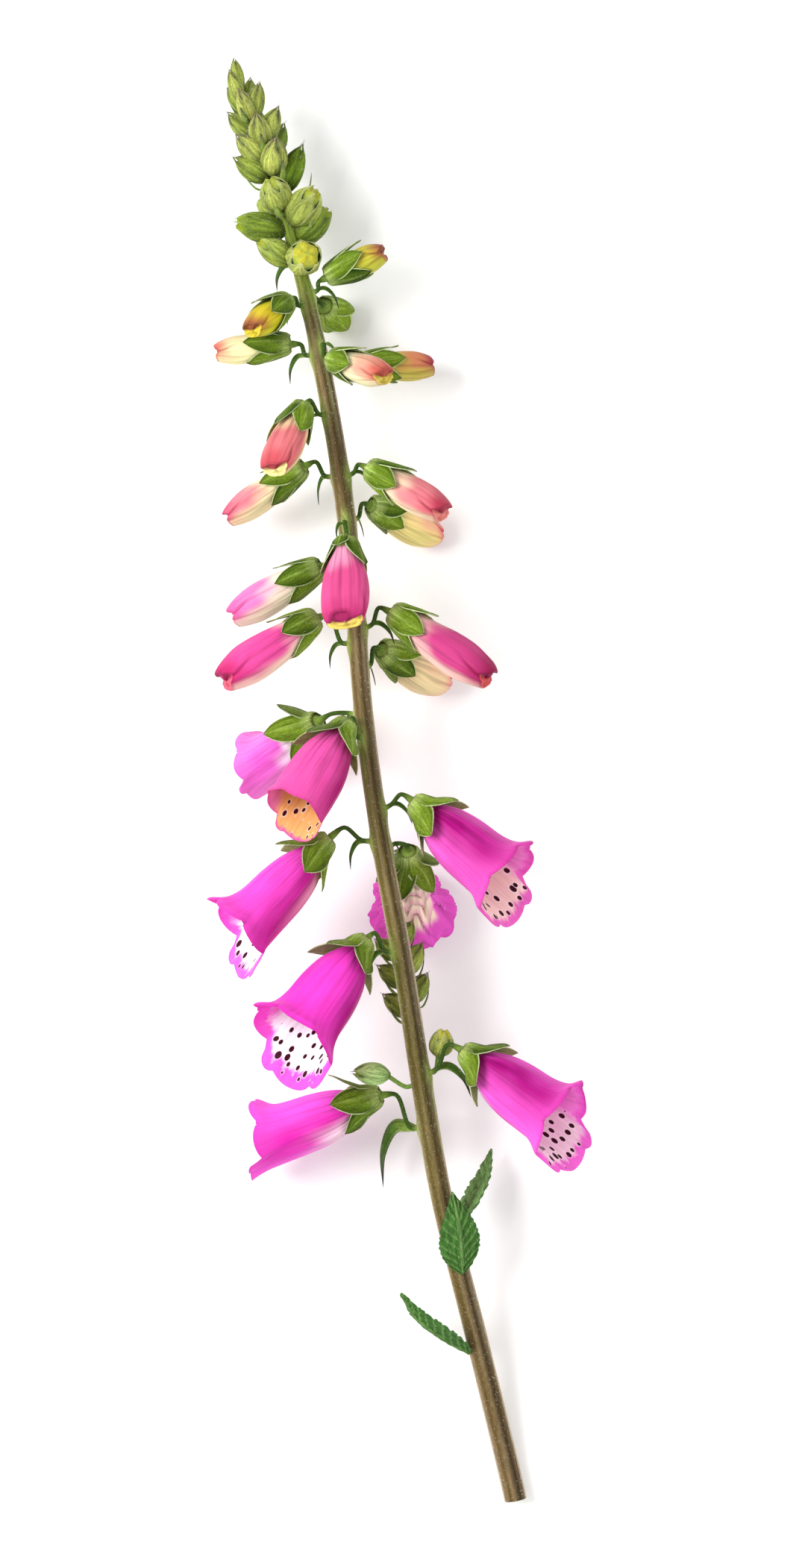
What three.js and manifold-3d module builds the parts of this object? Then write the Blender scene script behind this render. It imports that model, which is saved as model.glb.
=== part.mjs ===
// A foxglove flower spike, cut from its plant and laid on a surface.
// One leaning stem carries open bells low down, coloured buds above them and a green head of buds at the tip.
// Millimetres. The stem runs along +Y from its cut end to its tip, and +Z points up from the surface.
import * as THREE from 'three';
import { ParametricGeometry } from 'three/addons/geometries/ParametricGeometry.js';
import { mergeVertices } from 'three/addons/utils/BufferGeometryUtils.js';
import Module from 'manifold-3d';

const wasm = await Module();
wasm.setup();

// Driving dimensions
const HEAD_START = 427;       // height on the stem where the green head of buds begins
const GAP = 0.3;              // clearance between neighbouring pieces
const PETAL = 0.8;            // wall of an open bell
const SEPAL = 0.8;            // thickness of a sepal
const SEPAL_NOTCH = 5.0;      // how far the five sepals are joined into a cup
const CUP_FLOOR = 2.8;        // floor of the cup, which the corolla stands on
const CUP_FOOT = 1.6;         // how far the cup reaches back over the end of the flower stalk
const STALK_RADIUS = 0.75;    // flower stalk
const BRACT_THICKNESS = 0.8;
const BRACT_TURN = 32;        // how far a bract bends round the stem from its flower
const BRACT_TILT = 0.9;       // how much of its flat side a bract shows from beside the stem
const LEAF_THICKNESS = 0.9;

// The stem's middle line as [height, sideways, above the surface].
// It is bowed: the cut end lies on the surface and the lowest flowers hold the rest off it.
const STEM_LINE = [
  [0, 0, 3.4], [14, -0.4, 3.5], [60, -2.2, 12], [108, -4.3, 23], [150, -3.2, 31], [190, -1.4, 37.5],
  [235, -0.4, 41], [277, 2.4, 40], [320, 7.6, 35.5], [359, 10.7, 29.8], [398, 11.6, 26.5], [427, 10.9, 24.8],
  [451, 9.2, 23.8], [478, 5.4, 22.8], [497, 1.6, 22],
];
// The stem's radius as [height, radius]
const STEM_RADIUS = [[0, 3.75], [120, 3.6], [240, 3.25], [380, 3.05], [427, 2.45], [460, 1.8], [497, 0.8]];

// Every flower that shows colour, from the lowest up.
// at, turn, reach and lift place the base of its green cup: the height of its stalk on the stem, the turn round
// the stem (0 towards the viewer, 90 to the right), how far out and how far up. face and nod aim the flower:
// the turn that it faces and how far it nods below a right angle to the stem.
// roll turns the flower about its own length, length is from the cup to the mouth or tip, and open runs from 0,
// a bell just opening, through 1, fully flared, to 2, folded back with age. girth widens or narrows the tube.
const BELLS = [
  { at: 134, turn: -98, reach: 14, lift: 13.5, face: -101, nod: 10, roll: 0, length: 44, open: 0.8, girth: 0.84,
    bract: 34 },
  { at: 152, turn: 66, reach: 17.5, lift: 5.5, face: 64, nod: 44, roll: 22, length: 43, open: 1, girth: 0.94,
    bract: 20 },
  { at: 195, turn: -63, reach: 12, lift: 6, face: -63, nod: 39, roll: -32, length: 44, open: 1, girth: 1, bract: 15 },
  { at: 230, turn: 118, reach: 9.5, lift: -2.5, face: -174, nod: 40, roll: 0, length: 32.5, open: 2.1, girth: 1,
    bract: 8 },
  { at: 233, turn: -80, reach: 17, lift: 4, face: -82, nod: 35, roll: -20, length: 44, open: 1, girth: 0.84,
    bract: 15 },
  { at: 243, turn: 68, reach: 14, lift: 0.5, face: 69, nod: 50, roll: 26, length: 42, open: 0.95, girth: 0.96,
    bract: 13 },
  { at: 268, turn: -36, reach: 8.5, lift: 6, face: -58, nod: 43, roll: -26, length: 39, open: 0.25, girth: 1,
    bract: 12 },
  { at: 276, turn: -118, reach: 17.5, lift: 0.5, face: -136, nod: 17, roll: 0, length: 35, open: 0.8, girth: 0.92,
    bract: 12 },
];
// belly is half the thickness of the swollen part of a bud, and sepal is the length of its sepals.
const BUDS = [
  { at: 291, turn: 135, reach: 12, lift: 5, face: 144, nod: 27, length: 34, belly: 6.3, sepal: 14, bract: 12 },
  { at: 300, turn: -75, reach: 12, lift: 10.5, face: -75, nod: 22, length: 40, belly: 6.9, sepal: 16, bract: 13 },
  { at: 304, turn: 72, reach: 13, lift: 3.5, face: 72, nod: 44, length: 42, belly: 6.7, sepal: 16, bract: 14 },
  { at: 324, turn: -102, reach: 10, lift: 3.5, face: -103, nod: 17, length: 36, belly: 6.2, sepal: 16, bract: 12 },
  { at: 340, turn: -8, reach: 9, lift: -5.5, face: -22, nod: 60, length: 33, belly: 6.6, sepal: 13, bract: 10 },
  { at: 341, turn: 130, reach: 12, lift: 4, face: 139, nod: 25, length: 33, belly: 5.7, sepal: 13, bract: 11 },
  { at: 356, turn: 61, reach: 11, lift: 1, face: 61, nod: 39, length: 33, belly: 5.7, sepal: 15, bract: 11 },
  { at: 357, turn: -107, reach: 12, lift: 5.5, face: -108, nod: 21, length: 33, belly: 5.3, sepal: 14, bract: 15 },
  { at: 378, turn: -50, reach: 10.5, lift: 4, face: -42, nod: 43, length: 30, belly: 5.6, sepal: 14, bract: 11 },
  { at: 396, turn: 116, reach: 13, lift: -2.5, face: 108, nod: 11, length: 28, belly: 5.0, sepal: 14, bract: 13 },
  { at: 399, turn: -77, reach: 9, lift: 5, face: -92, nod: -5, length: 26, belly: 4.8, sepal: 14, bract: 15 },
  { at: 401, turn: 28, reach: 7, lift: -5, face: 50, nod: 25, length: 25, belly: 5.1, sepal: 13, bract: 8 },
  { at: 416, turn: -50, reach: 8, lift: 2.5, face: -50, nod: 24, length: 21, belly: 4.8, sepal: 13, bract: 10 },
  { at: 418, turn: 140, reach: 8, lift: -2.5, face: 168, nod: 14, length: 20, belly: 4.6, sepal: 13, bract: 9 },
  { at: 420, turn: 80, reach: 8, lift: 4, face: 80, nod: -11, length: 22, belly: 4.7, sepal: 14, bract: 13 },
];
// Green buds of the head as [height, turn, length, half thickness, rise above a right angle to the stem]
const HEAD_BUDS = [
  [431, 18, 11.5, 5.6, 8], [431, -84, 15, 4.6, 44], [433, 176, 15, 4.8, 22], [438, 108, 17, 5.2, 34],
  [442, -86, 18, 5.0, 22], [444, 62, 16, 5.6, 40], [448, -152, 15, 4.8, 36], [450, -18, 13, 5.4, 50],
  [455, 96, 17.5, 4.2, 56], [458, 166, 14, 4.6, 42], [461, -82, 13.5, 4.4, 42], [462, 28, 13, 4.8, 58],
  [466, -142, 12.5, 4.2, 48], [469, -58, 11.5, 4.2, 48], [470, 124, 12.5, 4.2, 50], [473, 2, 11.5, 4.2, 62],
  [476, 72, 11, 3.9, 54], [479, -94, 10, 3.7, 54], [480, 176, 11, 3.7, 55], [484, -24, 10, 3.6, 66],
  [486, 56, 9.5, 3.4, 64], [488, -124, 9, 3.2, 62], [490, 142, 8.5, 3.0, 66], [493, -44, 8, 2.8, 74],
  [496, 20, 8.5, 2.6, 86],
];
// Narrow bracts that stand out of the head as [height, turn, length]
const HEAD_BRACTS = [[430, -50, 14], [438, 145, 10], [447, -118, 9], [456, 132, 8]];
// Late green buds low on the stem as [name, height, turn, stalk reach, lift, face turn, rise, length, half thickness]
const SIDE_BUDS = [
  ['side_bud_left', 149, -78, 10, 5, -88, 16, 13, 3.9],
  ['side_bud_right', 152, 112, 7.5, 5, 40, 52, 11, 4.2],
];
// A stunted side shoot behind the stem: its buds as [distance along the shoot, turn, length, half thickness]
const SIDE_SHOOT = { at: 168, turn: 178, reach: 9, length: 31 };
const SHOOT_BUDS = [
  [1, -80, 12, 2.7], [5, 82, 12, 2.7], [11, -78, 12, 2.7], [15, 80, 12.5, 2.8], [21, -82, 10.5, 2.5],
  [25, 78, 10, 2.4], [30, 20, 8, 2.2],
];
// Leaves left on the lower stem as [name, height, turn, length, half width, rise, droop of the tip]
const STEM_LEAVES = [
  ['stem_leaf_1', 54, -60, 34, 7.0, 50, 4],
  ['stem_leaf_2', 98, 122, 30, 6.0, 50, 3],
  ['stem_leaf_3', 82, 12, 31, 6.8, 70, 4],
];

const PINK = '#d81aa6';
const ROSE = '#e0569a';
const SEPAL_GREEN = '#6c9c45';
const STEM_BROWN = '#7d6f4e';
const BUD_GREEN = '#9bb36a';
const LEAF_GREEN = '#5f8f4a';

const UP_STEM = new THREE.Vector3(0, 1, 0);
const radians = THREE.MathUtils.degToRad;

// Curves and tables

// A smooth value through a table of [place, value] pairs, by cubic Hermite pieces.
function through(table, place) {
  const last = table.length - 1;
  let i = 0;
  while (i < last - 1 && place > table[i + 1][0]) i += 1;
  const slope = (k) => {
    const before = table[Math.max(k - 1, 0)];
    const after = table[Math.min(k + 1, last)];
    return (after[1] - before[1]) / (after[0] - before[0]);
  };
  const span = table[i + 1][0] - table[i][0];
  const f = THREE.MathUtils.clamp((place - table[i][0]) / span, 0, 1);
  const f2 = f * f;
  const f3 = f2 * f;
  return (2 * f3 - 3 * f2 + 1) * table[i][1] + (f3 - 2 * f2 + f) * span * slope(i)
    + (3 * f2 - 2 * f3) * table[i + 1][1] + (f3 - f2) * span * slope(i + 1);
}

function stemPoint(height) {
  const sideways = STEM_LINE.map(([y, x]) => [y, x]);
  const above = STEM_LINE.map(([y, , z]) => [y, z]);
  return new THREE.Vector3(through(sideways, height), height, through(above, height));
}

function outward(turn) {
  return new THREE.Vector3(Math.sin(radians(turn)), 0, Math.cos(radians(turn)));
}

// A point just clear of the stem's surface, where something grows from it
function stemSurface(height, turn) {
  return stemPoint(height).addScaledVector(outward(turn), through(STEM_RADIUS, height) + 1.5 * GAP);
}

// The direction of something that leaves the stem at a turn and a rise above the right angle.
function leaving(turn, rise) {
  return outward(turn).multiplyScalar(Math.cos(radians(rise))).addScaledVector(UP_STEM, Math.sin(radians(rise)));
}

// The frame of a flower: +Y along it, +Z on its upper side, the side that faces up the stem before any roll.
function flowerFrame(base, turn, rise, roll = 0) {
  const along = leaving(turn, rise);
  const upper = leaving(turn, rise + 90);
  const side = new THREE.Vector3().crossVectors(along, upper);
  return new THREE.Matrix4().makeBasis(side, along, upper).setPosition(base)
    .multiply(new THREE.Matrix4().makeRotationY(radians(roll)));
}

// Closed surfaces

// A closed surface over a grid of turns and stations. place(turn 0..1, station index) gives each point, and
// both ends close on one point. Quads for which mirrored is true are split along the other diagonal, so that
// the two faces of a thin wall are split alike.
function closedSurface(place, turns, stations, mirrored = () => false) {
  const grid = new ParametricGeometry((u, v, target) => {
    target.copy(place(u % 1, Math.round(v * stations)));
  }, turns, stations);
  const index = [];
  for (let i = 0; i < stations; i += 1) {
    for (let j = 0; j < turns; j += 1) {
      const a = i * (turns + 1) + j;
      const b = a + 1;
      const d = a + turns + 1;
      const c = d + 1;
      index.push(...(mirrored(i, j) ? [a, b, c, a, c, d] : [a, b, d, b, c, d]));
    }
  }
  grid.setIndex(index);
  return tidy(grid);
}

// Merges shared vertices, drops triangles without area and turns the faces outwards.
function tidy(geometry) {
  const bare = geometry.index ? geometry : mergeVertices(geometry);
  bare.deleteAttribute('normal');
  bare.deleteAttribute('uv');
  const merged = mergeVertices(bare, 1e-4);
  const index = Array.from(merged.index.array);
  const kept = [];
  let volume = 0;
  const [p, q, r] = [new THREE.Vector3(), new THREE.Vector3(), new THREE.Vector3()];
  for (let i = 0; i < index.length; i += 3) {
    const [a, b, c] = index.slice(i, i + 3);
    if (a !== b && b !== c && c !== a) {
      kept.push(a, b, c);
      p.fromBufferAttribute(merged.attributes.position, a);
      q.fromBufferAttribute(merged.attributes.position, b);
      r.fromBufferAttribute(merged.attributes.position, c);
      volume += p.dot(q.cross(r));
    }
  }
  merged.setIndex(volume < 0 ? kept.reverse() : kept);
  return merged;
}

function solidOf(geometry) {
  return new wasm.Manifold(new wasm.Mesh({
    numProp: 3,
    vertProperties: new Float32Array(geometry.attributes.position.array),
    triVerts: new Uint32Array(geometry.index.array),
  }));
}

function geometryOf(solid) {
  const mesh = solid.getMesh();
  const geometry = new THREE.BufferGeometry();
  geometry.setAttribute('position', new THREE.BufferAttribute(new Float32Array(mesh.vertProperties), 3));
  geometry.setIndex(Array.from(mesh.triVerts));
  return geometry;
}

function joined(geometries) {
  return geometryOf(geometries.map(solidOf).reduce((whole, piece) => whole.add(piece)));
}

// A round stalk along a curve, thick at its start and end radii.
function stalk(points, startRadius, endRadius, sides, steps) {
  const curve = new THREE.CatmullRomCurve3(points);
  const frames = curve.computeFrenetFrames(steps);
  return closedSurface((u, i) => {
    const step = THREE.MathUtils.clamp(i - 1, 0, steps);
    const centre = curve.getPointAt(step / steps);
    if (i === 0 || i === steps + 2) return centre;
    const radius = THREE.MathUtils.lerp(startRadius, endRadius, step / steps);
    const angle = u * 2 * Math.PI;
    return centre.addScaledVector(frames.normals[step], radius * Math.cos(angle))
      .addScaledVector(frames.binormals[step], radius * Math.sin(angle));
  }, sides, steps + 2);
}

// A thin blade along a curve: halfWidth(0..1) across it, folded up a little along its midrib. A detailed blade
// has two more rows of points on each face.
function blade(points, across, halfWidth, thickness, fold, steps, detailed) {
  const curve = new THREE.CatmullRomCurve3(points);
  const corners = detailed
    ? [[-1, 0], [-0.5, 1], [0, 1], [0.5, 1], [1, 0], [0.5, -1], [0, -1], [-0.5, -1]]
    : [[-1, 0], [0, 1], [1, 0], [0, -1]];
  return closedSurface((u, i) => {
    const f = i / steps;
    const centre = curve.getPoint(f);
    const tangent = curve.getTangent(f);
    const normal = new THREE.Vector3().crossVectors(tangent, across).normalize();
    const side = new THREE.Vector3().crossVectors(normal, tangent);
    if (i === 0 || i === steps) return centre;
    const [w, h] = corners[Math.round(u * corners.length) % corners.length];
    const width = halfWidth(f);
    return centre.addScaledVector(side, w * width)
      .addScaledVector(normal, h * thickness / 2 + fold * Math.abs(w) * width);
  }, corners.length, steps, (i, j) => j >= corners.length / 2);
}

// The corolla, from its base in the green cup to its mouth or tip

// A tube's radius over its length, as parts of the length
const BELL_PROFILE = [[0, 0], [0.03, 0.062], [0.09, 0.09], [0.17, 0.108], [0.27, 0.155], [0.4, 0.205],
  [0.58, 0.238], [0.78, 0.252], [0.9, 0.262], [1, 0.278]];
// The five lobes of the mouth as [turn from the upper side, half width, reach forwards, flare outwards, point].
// The point is small for a broad round lobe and large for a pointed one.
const LOBES = [[28, 31, 0.09, 0.085, 0.7], [-28, 31, 0.09, 0.085, 0.7], [97, 44, 0.12, 0.07, 0.7],
  [-97, 44, 0.12, 0.07, 0.7], [180, 64, 0.34, 0.02, 0.42]];
const LOBE_START = 0.7;       // where along the tube the lobes begin to part
const MOUTH = 0.9;            // how far forward the tube itself reaches, as a part of the length

function lobeSum(turn, column) {
  return LOBES.reduce((sum, lobe) => {
    const away = Math.abs(THREE.MathUtils.euclideanModulo(turn - lobe[0] + 180, 360) - 180);
    const part = Math.max(1 - (away / lobe[1]) ** 2, 0);
    return sum + lobe[column] * part ** lobe[4];
  }, 0);
}

function bellSkin({ length, open, girth }) {
  return (t, turn) => {
    const late = THREE.MathUtils.smoothstep(t, LOBE_START, 1);
    const flare = lobeSum(turn, 3) * open - 0.035 * (1 - open);
    const under = 0.07 * (1 - Math.cos(radians(turn))) / 2 * Math.sin(Math.PI * Math.min(t, 1));
    const radius = length * (through(BELL_PROFILE, t) * girth * (1 + under) + flare * late * late);
    const reach = lobeSum(turn, 2) * (0.45 + 0.55 * Math.min(open, 1));
    const forward = length * (MOUTH * t + reach * late);
    return new THREE.Vector3(radius * Math.sin(radians(turn)), forward, radius * Math.cos(radians(turn)));
  };
}

// A bud's radius over its length, as parts of its half thickness, and its flattened width
const BUD_PROFILE = [[0, 0], [0.04, 0.42], [0.12, 0.6], [0.3, 0.82], [0.55, 1], [0.75, 1], [0.88, 0.86], [0.96, 0.6],
  [1, 0]];
const BUD_WIDTH = 1.25;

function budSkin({ length, belly }) {
  return (t, turn) => {
    const radius = belly * through(BUD_PROFILE, t);
    const wide = THREE.MathUtils.lerp(1, BUD_WIDTH, THREE.MathUtils.smoothstep(t, 0.1, 0.5));
    return new THREE.Vector3(wide * radius * Math.sin(radians(turn)), length * t,
      radius * Math.cos(radians(turn)));
  };
}

// The outward normal of a skin
function skinNormal(skin, t, turn) {
  const low = Math.max(t - 0.01, 0.004);
  const high = Math.min(t + 0.01, 1);
  const lengthwise = skin(high, turn).sub(skin(low, turn));
  const place = Math.max(t, 0.02);
  const round = skin(place, turn + 2).sub(skin(place, turn - 2));
  return new THREE.Vector3().crossVectors(round, lengthwise).normalize();
}

// Where the solid corolla starts, as a part of its length: flat on the floor of its green cup
function footOf({ length, open }) {
  return (CUP_FLOOR + GAP) / (open === undefined ? length : length * MOUTH);
}

function bellCorolla(bloom) {
  const skin = bellSkin(bloom);
  const outside = [footOf(bloom), footOf(bloom), 0.15, 0.3, 0.5, 0.72, 0.88, 1];
  const inside = [1, 0.86, 0.62, 0.32];
  const stations = outside.length + inside.length;
  return closedSurface((u, i) => {
    const turn = u * 360;
    if (i === 0) return new THREE.Vector3(0, CUP_FLOOR + GAP, 0);
    if (i < outside.length) return skin(outside[i], turn);
    if (i === stations) return new THREE.Vector3(0, 0.16 * bloom.length, 0);
    const t = inside[i - outside.length];
    return skin(t, turn).addScaledVector(skinNormal(skin, t, turn), -PETAL);
  }, 16, stations, (i) => i >= outside.length);
}

function budCorolla(bloom) {
  const skin = budSkin(bloom);
  const rings = [footOf(bloom), footOf(bloom), 0.24, 0.42, 0.62, 0.84, 0.955, 1];
  return closedSurface((u, i) => {
    return i === 0 ? new THREE.Vector3(0, CUP_FLOOR + GAP, 0) : skin(rings[i], u * 360);
  }, 12, rings.length - 1);
}

// The green parts of a flower: calyx, stalk and bract, grown together

// How far a sepal reaches at a turn, with a point over each of five places
function sepalEdge(turn, sepal) {
  const away = Math.abs(THREE.MathUtils.euclideanModulo(turn + 36, 72) - 36) / 36;
  return { reach: SEPAL_NOTCH + (sepal - SEPAL_NOTCH) * (1 - away ** 1.7), away };
}

function calyx(skin, bloom) {
  const scale = footOf(bloom) / (CUP_FLOOR + GAP);
  const standOff = GAP + 0.15;
  const place = (height, turn, off) => {
    const t = height * scale;
    return skin(t, turn).addScaledVector(skinNormal(skin, t, turn), off);
  };
  return closedSurface((u, i) => {
    const turn = u * 360;
    const { reach, away } = sepalEdge(turn, bloom.sepal);
    const lifted = standOff + bloom.spread * (1 - away);
    if (i === 0) return new THREE.Vector3(0, -CUP_FOOT, 0);
    if (i === 1) return place(CUP_FLOOR, turn, standOff + SEPAL);
    if (i === 2) return place(reach, turn, lifted + SEPAL);
    if (i === 3) return place(reach, turn, lifted);
    if (i === 4) return place(CUP_FLOOR, turn, standOff).setY(CUP_FLOOR);
    return new THREE.Vector3(0, CUP_FLOOR, 0);
  }, 20, 5, (i) => i > 2);
}

// A narrow bract from the root of a flower stalk. It bends a little away from the viewer and hangs at its tip.
function bract(root, turn, length) {
  const out = outward(turn);
  const away = outward(turn + BRACT_TURN * Math.sign(turn));
  const points = [
    root.clone().addScaledVector(out, -0.2),
    root.clone().addScaledVector(away, length * 0.3).addScaledVector(UP_STEM, length * 0.06),
    root.clone().addScaledVector(away, length * 0.52).addScaledVector(UP_STEM, -length * 0.18),
    root.clone().addScaledVector(away, length * 0.6).addScaledVector(UP_STEM, -length * 0.55),
  ];
  const across = new THREE.Vector3().crossVectors(UP_STEM, out).multiplyScalar(Math.sign(turn))
    .addScaledVector(UP_STEM, BRACT_TILT).addScaledVector(out, BRACT_TILT).normalize();
  const broadest = 0.55 + length * 0.055;
  const width = (f) => 0.35 + broadest * Math.sin(Math.PI * f ** 0.7);
  return blade(points, across, width, BRACT_THICKNESS, 0.2, 5, false);
}

function bloomBase({ at, turn, reach, lift }) {
  return stemPoint(at).addScaledVector(outward(turn), reach).addScaledVector(UP_STEM, lift);
}

function greenParts(bloom, skin, frame) {
  const base = bloomBase(bloom);
  const along = new THREE.Vector3().setFromMatrixColumn(frame, 1);
  const root = stemSurface(bloom.at, bloom.turn);
  const end = base.clone();
  const bend = bloom.reach * 0.34;
  const points = [
    root,
    root.clone().addScaledVector(outward(bloom.turn), bend * 0.5).addScaledVector(UP_STEM, bend * 0.22),
    end.clone().addScaledVector(along, -bend).lerp(root, 0.12),
    end,
  ];
  return joined([
    calyx(skin, bloom).applyMatrix4(frame),
    stalk(points, STALK_RADIUS * 1.3, STALK_RADIUS, 5, 4),
    bract(root, bloom.turn, bloom.bract),
  ]);
}

// The green head and the other green buds

// A closed green bud: an egg drawn out to a point, in a flower frame
function greenBud(length, halfThickness, turns) {
  const rings = [0, 0.16, 0.48, 0.78, 1];
  const swell = [0, 0.42, 1, 0.66, 0];
  return closedSurface((u, i) => {
    const radius = halfThickness * swell[i];
    const turn = u * 2 * Math.PI;
    return new THREE.Vector3(radius * Math.sin(turn), length * rings[i], radius * Math.cos(turn));
  }, turns, rings.length - 1);
}

function head() {
  const axisPoints = [HEAD_START + GAP, 445, 465, 483, 499].map(stemPoint);
  const pieces = [stalk(axisPoints, through(STEM_RADIUS, HEAD_START), 0.9, 8, 5)];
  for (const [height, turn, length, half, rise] of HEAD_BUDS) {
    const sunk = through(STEM_RADIUS, height) * 0.5;
    const base = stemPoint(height).addScaledVector(outward(turn), sunk);
    pieces.push(greenBud(length, half, half > 4 ? 6 : 5).applyMatrix4(flowerFrame(base, turn, rise)));
  }
  for (const [height, turn, length] of HEAD_BRACTS) {
    pieces.push(bract(stemPoint(height).addScaledVector(outward(turn), 1), turn, length));
  }
  return joined(pieces);
}

function sideBud([, height, turn, reach, lift, face, rise, length, half]) {
  const base = bloomBase({ at: height, turn, reach, lift });
  const root = stemSurface(height, turn);
  const frame = flowerFrame(base, face, rise);
  const along = new THREE.Vector3().setFromMatrixColumn(frame, 1);
  const points = [root, root.clone().addScaledVector(outward(turn), 1.5), base.addScaledVector(along, 1.5)];
  return joined([stalk(points, STALK_RADIUS, STALK_RADIUS, 6, 4), greenBud(length, half, 8).applyMatrix4(frame)]);
}

function sideShoot() {
  const { at, turn, reach, length } = SIDE_SHOOT;
  const root = stemSurface(at, turn);
  const foot = stemPoint(at).addScaledVector(outward(turn), reach).addScaledVector(UP_STEM, 3);
  const tip = foot.clone().addScaledVector(UP_STEM, length);
  const pieces = [stalk([root, foot, foot.clone().lerp(tip, 0.5), tip], 1.1, 0.7, 6, 6)];
  for (const [height, budTurn, budLength, half] of SHOOT_BUDS) {
    const base = foot.clone().addScaledVector(UP_STEM, height);
    pieces.push(greenBud(budLength, half, 5).applyMatrix4(flowerFrame(base, budTurn, 48)));
  }
  return joined(pieces);
}

function stemLeaf([, height, turn, length, halfWidth, rise, droop]) {
  const out = outward(turn);
  const root = stemSurface(height, turn);
  const run = leaving(turn, rise);
  const points = [0, 0.3, 0.65, 1].map((f) => root.clone().addScaledVector(run, f * length)
    .addScaledVector(out, droop * Math.sin(Math.PI * f)));
  const across = new THREE.Vector3().crossVectors(run, out).normalize();
  const tooth = (f) => 1 + 0.06 * Math.cos(f * 14 * Math.PI);
  const width = (f) => 0.5 + halfWidth * Math.sin(Math.PI * f ** 0.75) * tooth(f);
  return blade(points, across, width, LEAF_THICKNESS, 0.25, 14, true);
}

// The stem, cut square at its foot, with a small flat spot where it lies on the surface

function stem() {
  const sides = 12;
  const heights = [0, 7, 14, 26, 42, 60, 84, 108, 130, 150, 170, 190, 212, 235, 256, 277, 298, 320, 340, 359,
    379, 398, 413, HEAD_START];
  const tube = closedSurface((u, i) => {
    const height = heights[THREE.MathUtils.clamp(i - 1, 0, heights.length - 1)];
    const centre = stemPoint(height);
    if (i === 0 || i === heights.length + 1) return centre;
    const radius = through(STEM_RADIUS, height);
    const turn = u * 2 * Math.PI;
    return centre.add(new THREE.Vector3(radius * Math.sin(turn), 0, radius * Math.cos(turn)));
  }, sides, heights.length + 1);
  const below = tidy(new THREE.BoxGeometry(60, 60, 10).translate(0, 0, -5));
  return geometryOf(solidOf(tube).subtract(solidOf(below)));
}

// The whole spike

function finish(color, roughness) {
  return new THREE.MeshStandardMaterial({ color, roughness, metalness: 0 });
}

function piece(name, geometry, color, roughness = 0.6) {
  const mesh = new THREE.Mesh(geometry, finish(color, roughness));
  mesh.name = name;
  return mesh;
}

function bloomMeshes(name, bloom, skin, corollaGeometry, color) {
  const frame = flowerFrame(bloomBase(bloom), bloom.face, -bloom.nod, bloom.roll);
  const corolla = piece(`${name}_corolla`, corollaGeometry, color, 0.45);
  corolla.applyMatrix4(frame);
  return [corolla, piece(`${name}_calyx`, greenParts(bloom, skin, frame), SEPAL_GREEN)];
}

const spike = new THREE.Group();
spike.add(piece('stem', stem(), STEM_BROWN, 0.75));
spike.add(piece('head', head(), BUD_GREEN, 0.65));
BELLS.forEach((bell, i) => {
  const bloom = { sepal: 16, spread: 2.4, ...bell };
  spike.add(...bloomMeshes(`bell_${i + 1}`, bloom, bellSkin(bloom), bellCorolla(bloom), PINK));
});
BUDS.forEach((bud, i) => {
  const bloom = { spread: 0.5, ...bud };
  spike.add(...bloomMeshes(`bud_${i + 1}`, bloom, budSkin(bloom), budCorolla(bloom), ROSE));
});
SIDE_BUDS.forEach((bud) => spike.add(piece(bud[0], sideBud(bud), BUD_GREEN)));
spike.add(piece('side_shoot', sideShoot(), BUD_GREEN));
STEM_LEAVES.forEach((leaf) => spike.add(piece(leaf[0], stemLeaf(leaf), LEAF_GREEN, 0.7)));

// The origin is under the middle of the spike, on the surface.
const extent = new THREE.Box3().setFromObject(spike, true);
const middle = extent.getCenter(new THREE.Vector3());
spike.position.set(-middle.x, -middle.y, -extent.min.z);

export default spike;
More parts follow.
